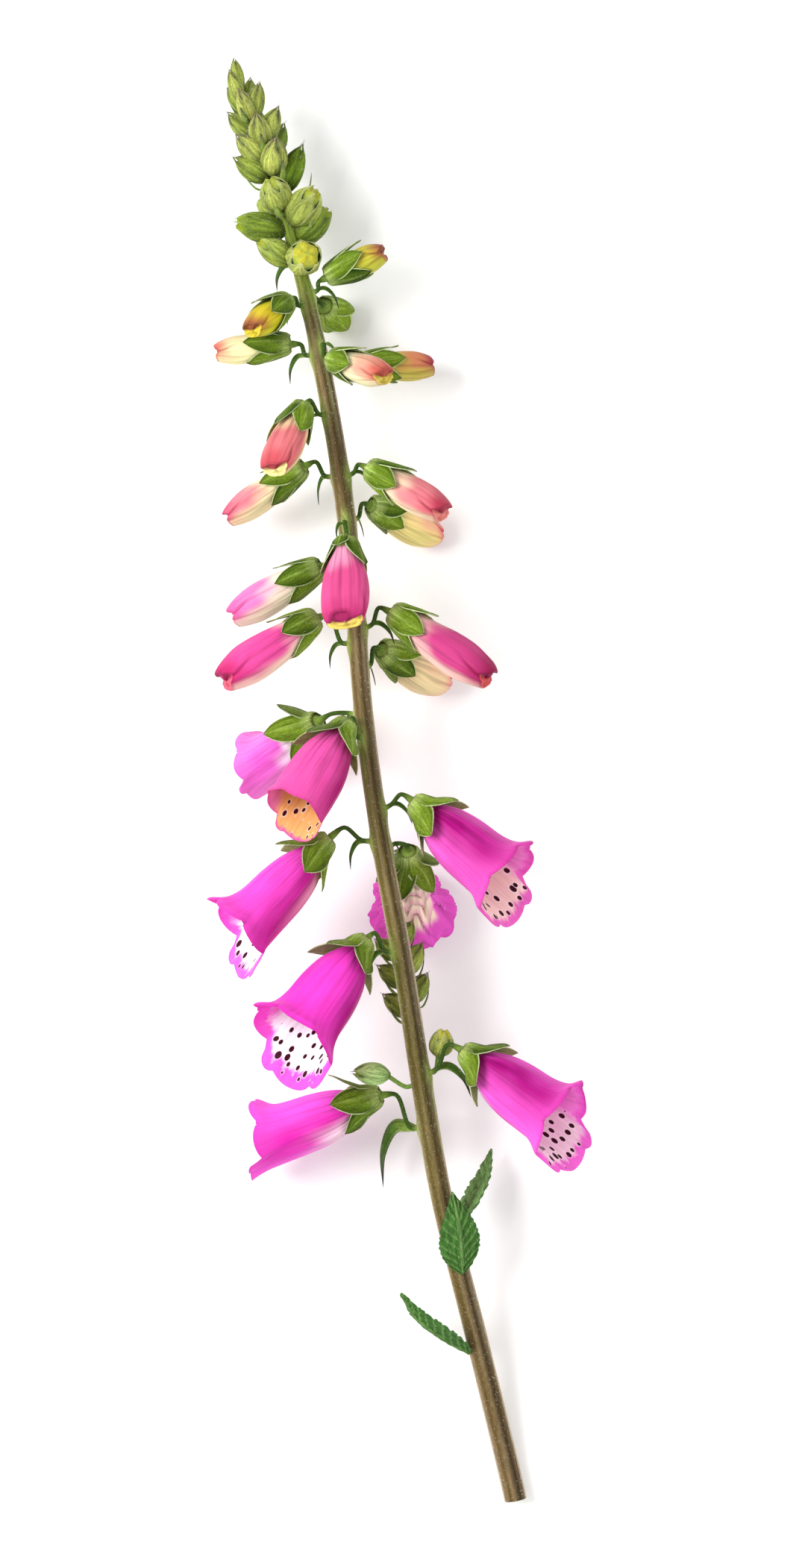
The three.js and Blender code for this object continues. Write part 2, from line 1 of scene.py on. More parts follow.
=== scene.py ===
"""A foxglove flower spike, cut from its plant and laid on a pale surface.

The solids of the frame say where every flower sits. This script grows the visible tissue in their place:
ribbed downy stem, spotted bells, folded buds, veined sepals, the green head and three toothed leaves.
Lengths in the tables are millimetres in the spike's own axes: +Y from the cut end to the tip and +Z
towards the viewer.
"""
import math
import bmesh
import bpy
import numpy as np
from bpy.props import FloatProperty, FloatVectorProperty, IntProperty, PointerProperty
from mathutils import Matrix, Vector


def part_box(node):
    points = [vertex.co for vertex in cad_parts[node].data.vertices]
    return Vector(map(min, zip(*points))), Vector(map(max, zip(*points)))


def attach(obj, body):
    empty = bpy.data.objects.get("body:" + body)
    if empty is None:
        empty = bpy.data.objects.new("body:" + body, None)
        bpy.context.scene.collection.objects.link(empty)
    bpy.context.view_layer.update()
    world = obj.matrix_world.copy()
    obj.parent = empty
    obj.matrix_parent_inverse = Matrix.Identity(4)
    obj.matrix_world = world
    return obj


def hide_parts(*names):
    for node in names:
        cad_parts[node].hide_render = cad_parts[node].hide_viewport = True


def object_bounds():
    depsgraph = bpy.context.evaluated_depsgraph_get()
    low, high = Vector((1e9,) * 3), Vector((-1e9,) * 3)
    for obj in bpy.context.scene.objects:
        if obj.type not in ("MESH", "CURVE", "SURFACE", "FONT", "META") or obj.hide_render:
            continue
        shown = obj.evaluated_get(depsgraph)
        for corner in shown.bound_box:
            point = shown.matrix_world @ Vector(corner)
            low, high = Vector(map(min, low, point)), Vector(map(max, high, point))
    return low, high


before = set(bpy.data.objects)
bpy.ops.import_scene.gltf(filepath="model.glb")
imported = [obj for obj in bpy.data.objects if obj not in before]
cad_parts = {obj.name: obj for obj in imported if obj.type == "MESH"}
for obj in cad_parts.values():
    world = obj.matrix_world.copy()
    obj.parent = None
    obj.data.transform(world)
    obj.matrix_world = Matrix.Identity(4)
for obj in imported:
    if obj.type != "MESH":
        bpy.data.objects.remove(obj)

bl_info = {
    "name": "Foxglove flower spike",
    "version": (1, 0, 0),
    "blender": (4, 5, 0),
    "location": "View3D > Sidebar > Foxglove",
    "description": "Grows the visible tissue of a cut foxglove spike around its packed solids",
    "category": "Object",
}

MM = 0.001
BODY = "root"
SEED = 7

# The stem and its parts, in millimetres and degrees

HEAD_START = 427
TIP = 497
GAP = 0.3
CUP_FLOOR = 2.8
CUP_FOOT = 1.6
CUP_RIM = 4.6
SEPAL_STAND_OFF = 0.5
STALK_RADIUS = 0.75
BRACT_TURN = 32
BRACT_TILT = 0.9
# Thickness of the thin green sheets
SEPAL_SHEET, BRACT_SHEET, SCALE_SHEET, LEAF_SHEET = 0.45, 0.4, 0.3, 0.6

# How finely the round surfaces are divided
STEM_COLUMNS, HEAD_COLUMNS, BELL_COLUMNS, BUD_COLUMNS = 72, 36, 108, 96
STEM_ROWS, HEAD_ROWS, STALK_ROWS = 430, 70, 22

# The stem's middle line as (height, sideways, above the surface)
STEM_LINE = np.array([
    (0, 0, 3.4), (14, -0.4, 3.5), (60, -2.2, 12), (108, -4.3, 23), (150, -3.2, 31), (190, -1.4, 37.5),
    (235, -0.4, 41), (277, 2.4, 40), (320, 7.6, 35.5), (359, 10.7, 29.8), (398, 11.6, 26.5),
    (427, 10.9, 24.8), (451, 9.2, 23.8), (478, 5.4, 22.8), (497, 1.6, 22),
])
STEM_RADIUS = ((0, 3.75), (120, 3.6), (240, 3.25), (380, 3.05), (427, 2.45), (460, 1.8), (497, 0.8))

# Flowers from the lowest up: where the stalk leaves the stem, where the base of the cup sits (turn, reach,
# lift), how the flower is aimed (face, nod, roll about its own length), its length, how far it is open, how
# wide its tube is, and the length of its bract.
BELL_FIELDS = ("at", "turn", "reach", "lift", "face", "nod", "roll", "length", "open", "girth", "bract")
BELLS = (
    (134, -98, 14, 13.5, -101, 10, 0, 44, 0.8, 0.84, 34),
    (152, 66, 17.5, 5.5, 64, 44, 22, 43, 1, 0.94, 20),
    (195, -63, 12, 6, -63, 39, -32, 44, 1, 1, 15),
    (230, 118, 9.5, -2.5, -174, 40, 0, 32.5, 2.1, 1, 8),
    (233, -80, 17, 4, -82, 35, -20, 44, 1, 0.84, 15),
    (243, 68, 14, 0.5, 69, 50, 26, 42, 0.95, 0.96, 13),
    (268, -36, 8.5, 6, -58, 43, -26, 39, 0.25, 1, 12),
    (276, -118, 17.5, 0.5, -136, 17, 0, 35, 0.8, 0.92, 12),
)
# Colours of each bell: petal, its deep colour, which the upper side has at the neck and which is painted
# shade along one flank, pale under side near the base, throat, how far up the pale base reaches, how far down
# the side the throat's colour starts, and where the pink rim starts
BELL_COLOURS = (
    ("#f55cd8", "#cc1c9c", "#f8d8e4", "#fae2f2", 0.55, 0.42, 0.9),
    ("#ee5ccc", "#ac0a7c", "#f6c6e4", "#fbd6e4", 0.40, 0.6, 0.92),
    ("#f342c8", "#9c026e", "#f6cdd4", "#fffafe", 0.62, 0.42, 0.9),
    ("#e458c4", "#c93aa8", "#fbe6cc", "#f9dfeb", 0.86, 0.42, 0.9),
    ("#f24ec8", "#aa0478", "#eda6b8", "#fdf7fc", 0.62, 0.42, 0.92),
    ("#e85cc0", "#ac0a7a", "#f3a9d4", "#fcd4cc", 0.34, 0.6, 0.93),
    ("#e254a4", "#a8146a", "#ee8d98", "#ecb06e", 0.34, 0.46, 0.965),
    ("#f080d2", "#dc54be", "#fdf3fa", "#fbeaf5", 0.5, 0.42, 0.9),
)
# Buds: as bells, with the half thickness of the belly and the length of the sepals.
BUD_FIELDS = ("at", "turn", "reach", "lift", "face", "nod", "length", "belly", "sepal", "bract")
BUDS = (
    (291, 135, 12, 5, 144, 27, 34, 6.3, 14, 12),
    (300, -75, 12, 10.5, -75, 22, 40, 6.9, 16, 13),
    (304, 72, 13, 3.5, 72, 44, 42, 6.7, 16, 14),
    (324, -102, 10, 3.5, -103, 17, 36, 6.2, 16, 12),
    (340, -8, 9, -5.5, -22, 60, 33, 6.6, 13, 10),
    (341, 130, 12, 4, 139, 25, 33, 5.7, 13, 11),
    (356, 61, 11, 1, 61, 39, 33, 5.7, 15, 11),
    (357, -107, 12, 5.5, -108, 21, 33, 5.3, 14, 15),
    (378, -50, 10.5, 4, -42, 43, 30, 5.6, 14, 11),
    (396, 116, 13, -2.5, 108, 11, 28, 5.0, 14, 13),
    (399, -77, 9, 5, -92, -5, 26, 4.8, 14, 15),
    (401, 28, 7, -5, 50, 25, 25, 5.1, 13, 8),
    (416, -50, 8, 2.5, -50, 24, 21, 4.8, 13, 10),
    (418, 140, 8, -2.5, 168, 14, 20, 4.6, 13, 9),
    (420, 80, 8, 4, 80, -11, 22, 4.7, 14, 13),
)
# Colours of each bud: under side and base, upper side, tip, folded lip, and where the colour of the upper
# side starts
BUD_COLOURS = (
    ("#ead6a2", "#efc7a0", "#e0607a", "#e98a90", 0.30),
    ("#f8dac4", "#e24c98", "#bb2464", "#dc6076", 0.10),
    ("#f6cdbe", "#c03e7c", "#9a1c50", "#cf5454", 0.16),
    ("#f4efd0", "#f07cba", "#da569c", "#f6e8ba", 0.30),
    ("#f0a0c0", "#d24c86", "#b8306c", "#efd668", 0.14),
    ("#efe08e", "#eab08c", "#d84a68", "#dd6a74", 0.30),
    ("#f8e2bc", "#dc7a82", "#b63a52", "#e68a80", 0.3),
    ("#f6e8b4", "#e47e8a", "#c8466a", "#e0607a", 0.32),
    ("#f5dfa8", "#dc767a", "#c24c56", "#f2e89a", 0.24),
    ("#c8b854", "#cc8058", "#961c42", "#a02850", 0.36),
    ("#f2eab2", "#f2dcaa", "#d0685c", "#c8705a", 0.42),
    ("#f6f0c0", "#e8a48c", "#c75e52", "#dcc65a", 0.38),
    ("#ccc82a", "#ccb62c", "#a0603a", "#dcc83e", 0.4),
    ("#bfcb74", "#a9bd6a", "#9fae5a", "#c8cc6a", 0.3),
    ("#bcc040", "#c4b43e", "#9c5840", "#b8705a", 0.42),
)
# Green buds of the head as (height, turn, length, half thickness, rise above a right angle to the stem, tone
# from deep green to pale sage, which is partly painted light and shade)
HEAD_BUDS = (
    (431, 18, 11.5, 5.6, 8, 0.9), (431, -84, 15, 4.6, 44, 0.5), (433, 176, 15, 4.8, 22, 0.4),
    (438, 108, 17, 5.2, 34, 0.22), (442, -86, 18, 5.0, 22, 0.2), (444, 62, 16, 5.6, 40, 0.7),
    (448, -152, 15, 4.8, 36, 0.5), (450, -18, 13, 5.4, 50, 0.75), (455, 96, 17.5, 4.2, 56, 0.02),
    (458, 166, 14, 4.6, 42, 0.4), (461, -82, 13.5, 4.4, 42, 0.4), (462, 28, 13, 4.8, 58, 0.85),
    (466, -142, 12.5, 4.2, 48, 0.5), (469, -58, 11.5, 4.2, 48, 0.8), (470, 124, 12.5, 4.2, 50, 0.2),
    (473, 2, 11.5, 4.2, 62, 0.95), (476, 72, 11, 3.9, 54, 0.75), (479, -94, 10, 3.7, 54, 0.6),
    (480, 176, 11, 3.7, 55, 0.5), (484, -24, 10, 3.6, 66, 1.0), (486, 56, 9.5, 3.4, 64, 0.8),
    (488, -124, 9, 3.2, 62, 0.5), (490, 142, 8.5, 3.0, 66, 0.6), (493, -44, 8, 2.8, 74, 0.8),
    (496, 20, 8.5, 2.6, 86, 0.7),
)
HEAD_BRACTS = ((430, -50, 14), (438, 145, 10), (447, -118, 9), (456, 132, 8))
# Late green buds low on the stem as (name, height, turn, stalk reach, lift, face turn, rise, length, half
# thickness)
SIDE_BUDS = (
    ("side_bud_left", 149, -78, 10, 5, -88, 16, 13, 3.9),
    ("side_bud_right", 152, 112, 7.5, 5, 40, 52, 11, 4.2),
)
# The stunted side shoot behind the stem, and its buds as (distance along it, turn, length, half thickness)
SHOOT = {"at": 168, "turn": 178, "reach": 9, "length": 31, "rise": 48}
SHOOT_BUDS = ((1, -80, 12, 2.7), (5, 82, 12, 2.7), (11, -78, 12, 2.7), (15, 80, 12.5, 2.8),
              (21, -82, 10.5, 2.5), (25, 78, 10, 2.4), (30, 20, 8, 2.2))
# Leaves as (name, height, turn, length, half width, rise, droop of the tip)
STEM_LEAVES = (
    ("stem_leaf_1", 54, -60, 34, 7.0, 50, 4),
    ("stem_leaf_2", 98, 122, 30, 6.0, 50, 3),
    ("stem_leaf_3", 82, 12, 31, 6.8, 70, 4),
)

# Filaments of a bell as (turn off its upper side, reach), and the style between them
FILAMENTS = ((-34, 0.66), (34, 0.66), (-14, 0.74), (14, 0.74))
STYLE = (0, 0.8)

# Flower shapes, as parts of the length or of the half thickness

BELL_PROFILE = ((0, 0), (0.03, 0.062), (0.09, 0.09), (0.17, 0.108), (0.27, 0.155), (0.4, 0.205),
                (0.58, 0.238), (0.78, 0.252), (0.9, 0.262), (1, 0.278))
# The five lobes of the mouth as (turn from the upper side, half width, reach forwards, flare outwards,
# point). The point is small for a broad round lobe and large for a pointed one.
LOBES = ((28, 31, 0.09, 0.085, 0.7), (-28, 31, 0.09, 0.085, 0.7), (97, 44, 0.12, 0.07, 0.7),
         (-97, 44, 0.12, 0.07, 0.7), (180, 64, 0.34, 0.02, 0.42))
LOBE_START = 0.7
MOUTH = 0.9
BELL_MEAN_RADIUS = 0.25
BUD_PROFILE = ((0, 0), (0.04, 0.42), (0.12, 0.6), (0.3, 0.82), (0.55, 1), (0.75, 1), (0.88, 0.86),
               (0.96, 0.6), (1, 0))
BUD_WIDTH = 1.25
# The flank of a bell that lies in shade, for one that faces left and one that faces right
SHADED_SIDE_LEFT, SHADED_SIDE_RIGHT = -112, 25
# The visible hood of a coloured bud stays wide and ends blunt, where its folded lobes close it.
HOOD_PROFILE = ((0, 0), (0.04, 0.42), (0.12, 0.6), (0.3, 0.82), (0.55, 1), (0.75, 1.01), (0.88, 0.93),
                (0.95, 0.82), (1, 0.66))
HOOD_PRESSED = 0.16
# A green bud's half thickness along it, and its rounded heart as (place, half thickness, how ripe it can
# turn)
GREEN_BUD_OUTLINE = ((0, 0.2), (0.1, 0.5), (0.25, 0.87), (0.42, 1), (0.62, 0.93), (0.78, 0.7), (0.9, 0.38),
                     (1, 0.04))
HEART = ((0.02, 0.1, 0.0), (0.25, 0.66, 0), (0.5, 0.84, 0), (0.7, 0.78, 0.3), (0.81, 0.66, 0.9),
         (0.88, 0.46, 1), (0.91, 0.25, 1), (0.9, 0, 0.6))
# The five sepals as (turn, width, layer, spread)
SEPALS = ((0, 0.62, 0.55, 1.7), (72, 1.0, 0.3, 1.2), (-72, 1.0, 0.3, 1.2), (144, 1.0, 0.05, 0.7),
          (-144, 1.0, 0.05, 0.7))
# The outside of a flower's green cup as (height, distance off the corolla)
CUP_RINGS = ((0.0, 0.25), (0.5, 0.55), (1.4, 0.7), (2.6, 0.75), (4.2, 0.6), (CUP_RIM, 0.3))
# Half width of a sepal from its foot to its point, as parts of the widest
SEPAL_OUTLINE = ((0, 0.8), (0.22, 0.96), (0.45, 1), (0.66, 0.82), (0.84, 0.48), (0.95, 0.17), (1, 0.02))

# Greens and browns of the stem and its small parts
STEM_BROWN = "#6f582f"
STEM_DARK = "#2c1f0a"
STEM_PALE_AND_SHEEN = "#b8a68e"
STEM_OLIVE = "#6c671f"
HEAD_GREEN = "#4d6a1c"
STEM_GREEN = "#74842a"
PITH = "#e3e6c4"
SEPAL_GREEN = "#88a62a"
SEPAL_PALE = "#d3e2a4"
SEPAL_DARK = "#294403"
# Flowers whose sepals are darker than the rest, or paler where the value is below 0
SEPAL_SHADES = {"bud_14": -1.1, "bud_15": 0.45, "bud_3": 0.3, "bell_6": 0.2}
BUD_GREEN = "#a8b04c"
BUD_TIP = "#865f5a"
LEAF_GREEN = "#457430"
LEAF_PALE = "#96b672"
BRACT_TIP = "#3a2f3b"

# The stage, in metres and watts: lights as (name, place, size, power)
FLOOR_HALF = 2.0
AIR_STRENGTH = 0.68
LIGHTS = (("window_light", (-1.0, 0.5, 1.15), 0.9, 27.5), ("fill_light", (0.9, -0.6, 0.9), 1.1, 8.0))
CAMERA_DISTANCE = 1.6
SENSOR_HEIGHT = 36.0
PICTURE_ASPECT = 1075 / 2102

# Down: share of the density, share of the length and slot of each piece that carries it
SEPAL_DOWN = (0.12, 0.6, "sepal")
DOWN = {"stem_tissue": (0.8, 0.9, "stem"), "head_axis": (0.8, 0.8, "bud"), "head_buds": (0.5, 0.7, "bud"),
        "head_buds_loose": (0.5, 0.6, "bud"), "side_shoot_buds": (0.5, 0.6, "bud"),
        "flower_stalks": (0.7, 0.7, "sepal")}
HAIR_THICKNESS = 0.035 * MM
HAIR_LEAN = 0.7


# Numbers, colours and curves

def linear(hex_colour):
    """An sRGB hex value as a linear colour."""
    code = hex_colour.lstrip("#")
    srgb = np.array([int(code[i:i + 2], 16) for i in (0, 2, 4)]) / 255
    return np.where(srgb <= 0.04045, srgb / 12.92, ((srgb + 0.055) / 1.055) ** 2.4)


def mixed(first, second, part):
    """first where part is 0 and second where it is 1."""
    part = np.clip(np.asarray(part, float), 0, 1)[..., None]
    return first * (1 - part) + second * part


def smooth(value, low, high):
    """0 below low, 1 above high and a soft step between them."""
    f = np.clip((np.asarray(value, float) - low) / (high - low), 0, 1)
    return f * f * (3 - 2 * f)


def through(table, place):
    """A smooth value through a table of (place, value) pairs, by cubic Hermite pieces."""
    x, y = np.asarray(table, float).T
    slope = np.empty(len(x))
    slope[1:-1] = (y[2:] - y[:-2]) / (x[2:] - x[:-2])
    slope[0] = (y[1] - y[0]) / (x[1] - x[0])
    slope[-1] = (y[-1] - y[-2]) / (x[-1] - x[-2])
    place = np.asarray(place, float)
    i = np.clip(np.searchsorted(x, place, side="left") - 1, 0, len(x) - 2)
    span = x[i + 1] - x[i]
    f = np.clip((place - x[i]) / span, 0, 1)
    return ((2 * f ** 3 - 3 * f ** 2 + 1) * y[i] + (f ** 3 - 2 * f ** 2 + f) * span * slope[i]
        + (3 * f ** 2 - 2 * f ** 3) * y[i + 1] + (f ** 3 - f ** 2) * span * slope[i + 1])


def spline(knots, count):
    """Points along a centripetal Catmull-Rom curve through the knots."""
    knots = np.asarray(knots, float)
    ends = np.vstack([2 * knots[0] - knots[1], knots, 2 * knots[-1] - knots[-2]])
    places = np.linspace(0, len(knots) - 1, count)
    made = np.empty((count, 3))
    for row, place in enumerate(places):
        i = min(int(place), len(knots) - 2)
        f = place - i
        p0, p1, p2, p3 = ends[i:i + 4]
        d0, d1, d2 = (max(np.linalg.norm(b - a) ** 0.5, 1e-4) for a, b in ((p0, p1), (p1, p2), (p2, p3)))
        start = d1 * ((p1 - p0) / d0 - (p2 - p0) / (d0 + d1) + (p2 - p1) / d1)
        end = d1 * ((p2 - p1) / d1 - (p3 - p1) / (d1 + d2) + (p3 - p2) / d2)
        made[row] = ((2 * f ** 3 - 3 * f ** 2 + 1) * p1 + (f ** 3 - 2 * f ** 2 + f) * start
            + (3 * f ** 2 - 2 * f ** 3) * p2 + (f ** 3 - f ** 2) * end)
    return made


def sine(turn):
    return np.sin(np.radians(turn))


def cosine(turn):
    return np.cos(np.radians(turn))


def apart(turn, other=0):
    """The turn from other to turn, between -180 and 180."""
    return (turn - other + 180) % 360 - 180


def hump(value, width):
    """1 where value is 0, falling softly to nothing over about twice the width."""
    return np.exp(-(value / width) ** 2)


def coated(paint, *coats):
    """A colour under further coats, each a hex value and how far it covers (0 to 1)."""
    for colour, part in coats:
        paint = mixed(paint, linear(colour), part)
    return paint


def unit(vectors):
    return vectors / np.maximum(np.linalg.norm(vectors, axis=-1, keepdims=True), 1e-9)


def ripple(across, along, seed):
    """A soft uneven wave between about -1 and 1, the same on every run."""
    phase = np.random.default_rng(seed).uniform(0, 2 * math.pi, 6)
    return (np.sin(across + phase[0]) * np.cos(along + phase[1])
        + 0.6 * np.sin(2.3 * across + 1.4 * along + phase[2])
        + 0.5 * np.sin(1.1 * across - 2.7 * along + phase[3])) / 2.1


# Places on the spike

UP_STEM = np.array((0.0, 1.0, 0.0))


def stem_point(height):
    height = np.asarray(height, float)
    sideways = through(STEM_LINE[:, (0, 1)], height)
    above = through(STEM_LINE[:, (0, 2)], height)
    return np.stack([sideways, height, above], axis=-1)


def outward(turn):
    """Away from the stem at a turn round it: 0 towards the viewer, 90 to the right."""
    turn = np.radians(turn)
    return np.stack([np.sin(turn), np.zeros_like(turn), np.cos(turn)], axis=-1)


def leaving(turn, rise):
    return outward(turn) * math.cos(math.radians(rise)) + UP_STEM * math.sin(math.radians(rise))


def stem_surface(height, turn):
    return stem_point(height) + outward(turn) * (through(STEM_RADIUS, height) + 1.5 * GAP)


def flower_axes(turn, rise, roll=0):
    """The flower's own axes as rows: to its side, along it, and its upper side."""
    along = leaving(turn, rise)
    upper = leaving(turn, rise + 90)
    side = np.cross(along, upper)
    rolled = math.radians(roll)
    return np.array([side * math.cos(rolled) - upper * math.sin(rolled), along,
        side * math.sin(rolled) + upper * math.cos(rolled)])


def cup_base(flower):
    return stem_point(flower["at"]) + outward(flower["turn"]) * flower["reach"] + UP_STEM * flower["lift"]


def placed(points, flower):
    """Points of a flower's own axes, set in their place on the spike."""
    axes = flower_axes(flower["face"], -flower["nod"], flower["roll"])
    return (cup_base(flower) + points.reshape(-1, 3) @ axes).reshape(points.shape)


def pole(place, ring):
    """One point of a flower's own axis, repeated as often as the ring that it closes."""
    return np.broadcast_to((0, place, 0), ring.shape)


def frame_offset():
    """Where the spike's own origin lies in the frame, from the stem's packed box, in millimetres."""
    low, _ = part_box("stem")
    heights = np.linspace(0, HEAD_START, 400)
    leftmost = np.min(stem_point(heights)[:, 0] - through(STEM_RADIUS, heights))
    return np.array(low) / MM - (leftmost, 0, 0)


OFFSET = frame_offset()
CAD_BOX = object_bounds()


def flowers(fields, rows, name, **common):
    return [dict(common, name=f"{name}_{i + 1}", **dict(zip(fields, row))) for i, row in enumerate(rows)]


BELL_FLOWERS = flowers(BELL_FIELDS, BELLS, "bell", sepal=16, spread=3.2, sepal_width=4.9)
BUD_FLOWERS = flowers(BUD_FIELDS, BUDS, "bud", spread=0.7, sepal_width=4.6, roll=0)
for flower, colours in zip(BELL_FLOWERS + BUD_FLOWERS, BELL_COLOURS + BUD_COLOURS):
    flower["colours"] = colours
FLOWERS = BELL_FLOWERS + BUD_FLOWERS


# Meshes

class Tissue:
    """The points, faces and painted colours of one piece while it is put together, in millimetres."""

    def __init__(self):
        self.points = []
        self.faces = []
        self.corners = []
        self.paint = []
        self.marks = []
        self.count = 0

    def grid(self, points, paint, closed=True, pattern=None, marks=None):
        """Adds a surface over rows of points, which runs round when it is closed.

        pattern holds coordinates in millimetres for the fine markings, with one more column than a closed
        grid, and marks says where they go.
        """
        rows, columns = points.shape[:2]
        row, column = np.meshgrid(np.arange(rows - 1), np.arange(columns if closed else columns - 1),
            indexing="ij")
        row, column = row.ravel(), column.ravel()
        right = (column + 1) % columns
        faces = np.stack([row * columns + column, row * columns + right, (row + 1) * columns + right,
            (row + 1) * columns + column], axis=1)
        if pattern is None:
            pattern = np.zeros((rows, columns + 1, 2))
        corners = np.stack([pattern[row, column], pattern[row, column + 1], pattern[row + 1, column + 1],
            pattern[row + 1, column]], axis=1)
        self.points.append(points.reshape(-1, 3))
        self.faces.append(faces + self.count)
        self.corners.append(corners.reshape(-1, 2))
        self.paint.append(np.broadcast_to(paint, points.shape).reshape(-1, 3))
        self.marks.append(np.broadcast_to(0.0 if marks is None else marks, points.shape[:2]).ravel())
        self.count += rows * columns

    def slab(self, middle, thickness, paint, under=None, grain=(1, 1)):
        """Adds a thin closed sheet about a grid of middle points. It thins out to its edges.

        grain turns its own width and length into millimetres for the fine veins.
        """
        rows, columns = middle.shape[:2]
        lengthwise = np.gradient(middle, axis=0)
        across = np.gradient(middle, axis=1)
        normal = unit(np.cross(across, lengthwise))
        side = np.linspace(-1, 1, columns)
        ends = np.linspace(0, 1, rows)[:, None]
        thin = (np.sqrt(np.clip(1 - np.abs(side) ** 3, 0, 1))
            * np.sqrt(np.clip(4 * ends * (1 - ends), 0, 1)) ** 0.5)
        half = (thickness * 0.5 * thin)[..., None] * normal
        paint = np.broadcast_to(paint, middle.shape)
        under = paint if under is None else np.broadcast_to(under, middle.shape)
        back = slice(columns - 2, 0, -1)
        wide = np.cumsum(np.linalg.norm(across, axis=-1).mean(axis=0)) * grain[0] + 0.37 * self.count
        long = np.cumsum(np.linalg.norm(lengthwise, axis=-1).mean(axis=1)) * grain[1]
        wide = np.concatenate([wide, wide[back], wide[:1]])
        self.grid(np.concatenate([middle + half, (middle - half)[:, back]], axis=1),
            np.concatenate([paint, under[:, back]], axis=1),
            pattern=np.stack(np.broadcast_arrays(wide, long[:, None]), axis=-1))

    def mesh(self, name):
        """The finished mesh in the frame's metres, its poles and edges welded and its faces outwards."""
        points = (np.concatenate(self.points) + OFFSET) * MM
        faces = np.concatenate(self.faces)
        made = bpy.data.meshes.new(name)
        made.from_pydata(points.tolist(), [], faces.tolist())
        paint = made.attributes.new("paint", "FLOAT_COLOR", "POINT")
        opaque = np.ones((len(points), 1))
        paint.data.foreach_set("color", np.hstack([np.concatenate(self.paint), opaque]).ravel())
        marks = made.attributes.new("marks", "FLOAT", "POINT")
        marks.data.foreach_set("value", np.concatenate(self.marks))
        pattern = made.uv_layers.new(name="pattern_mm")
        pattern.data.foreach_set("uv", np.concatenate(self.corners).ravel())
        shape = bmesh.new()
        shape.from_mesh(made)
        bmesh.ops.remove_doubles(shape, verts=shape.verts, dist=0.002 * MM)
        bmesh.ops.recalc_face_normals(shape, faces=shape.faces)
        shape.to_mesh(made)
        shape.free()
        made.shade_smooth()
        return made


def eased(value, limit):
    """The value itself up to 2 mm below the limit, and from there ever closer to it."""
    ease = 2 * MM
    past = np.maximum(value - (limit - ease), 0)
    return value - past + ease * (1 - np.exp(-past / ease))


def settle(mesh):
    """Eases tissue into the box of the solids, and lays flat what would reach below the surface."""
    points = np.empty(len(mesh.vertices) * 3)
    mesh.vertices.foreach_get("co", points)
    points = points.reshape(-1, 3)
    low, high = CAD_BOX
    points[:, 0] = np.sign(points[:, 0]) * eased(np.abs(points[:, 0]), high[0])
    points[:, 1] = np.clip(points[:, 1], low[1], high[1])
    points[:, 2] = np.maximum(eased(points[:, 2], high[2]), 0)
    mesh.vertices.foreach_set("co", points.ravel())
    mesh.update()


def piece(name, mesh, material, slot, *nodes):
    """Puts a finished mesh in the scene as a piece of the spike that stands for the named nodes."""
    settle(mesh)
    made = bpy.data.objects.new(name, mesh)
    bpy.context.scene.collection.objects.link(made)
    mesh.materials.clear()
    mesh.materials.append(material)
    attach(made, BODY)
    if nodes:
        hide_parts(*nodes)


def grown(name, mesh, tree, values, smooth_faces=True):
    """Runs a node tree on a mesh and gives the result back as a plain mesh."""
    maker = bpy.data.objects.new(name, mesh)
    bpy.context.scene.collection.objects.link(maker)
    modifier = maker.modifiers.new(tree.name, "NODES")
    modifier.node_group = tree
    for item in tree.interface.items_tree:
        if item.in_out == "INPUT" and item.name in values:
            modifier[item.identifier] = values[item.name]
    bpy.context.view_layer.update()
    plain = bpy.data.meshes.new_from_object(maker.evaluated_get(bpy.context.evaluated_depsgraph_get()))
    bpy.data.objects.remove(maker)
    plain.name = name
    if smooth_faces:
        plain.shade_smooth()
    return plain


# Nodes

def add(tree, kind, inputs=None, **settings):
    """Adds a node.

    inputs maps a socket's name or number to its value or to what feeds it: another socket, or a node, which
    stands for its first output.
    """
    made = tree.nodes.new(kind)
    for key, value in settings.items():
        setattr(made, key, value)
    for key, value in (inputs or {}).items():
        if isinstance(value, bpy.types.Node):
            value = value.outputs[0]
        if isinstance(value, bpy.types.NodeSocket):
            tree.links.new(value, made.inputs[key])
        else:
            made.inputs[key].default_value = value
    return made


def node_tree(name, *sockets):
    """An empty geometry tree that takes and gives geometry, and its input node.

    sockets are (name, kind, default).
    """
    tree = bpy.data.node_groups.new(name, "GeometryNodeTree")
    tree.interface.new_socket("Geometry", in_out="INPUT", socket_type="NodeSocketGeometry")
    tree.interface.new_socket("Geometry", in_out="OUTPUT", socket_type="NodeSocketGeometry")
    for label, kind, default in sockets:
        socket = tree.interface.new_socket(label, in_out="INPUT", socket_type=kind)
        if default is not None:
            socket.default_value = default
    return tree, add(tree, "NodeGroupInput")


def close_tree(tree, geometry, material):
    """Ends a geometry tree in real geometry with its material."""
    real = add(tree, "GeometryNodeRealizeInstances", {"Geometry": geometry})
    finished = add(tree, "GeometryNodeSetMaterial", {"Geometry": real, "Material": material})
    add(tree, "NodeGroupOutput", {0: finished})
    return tree


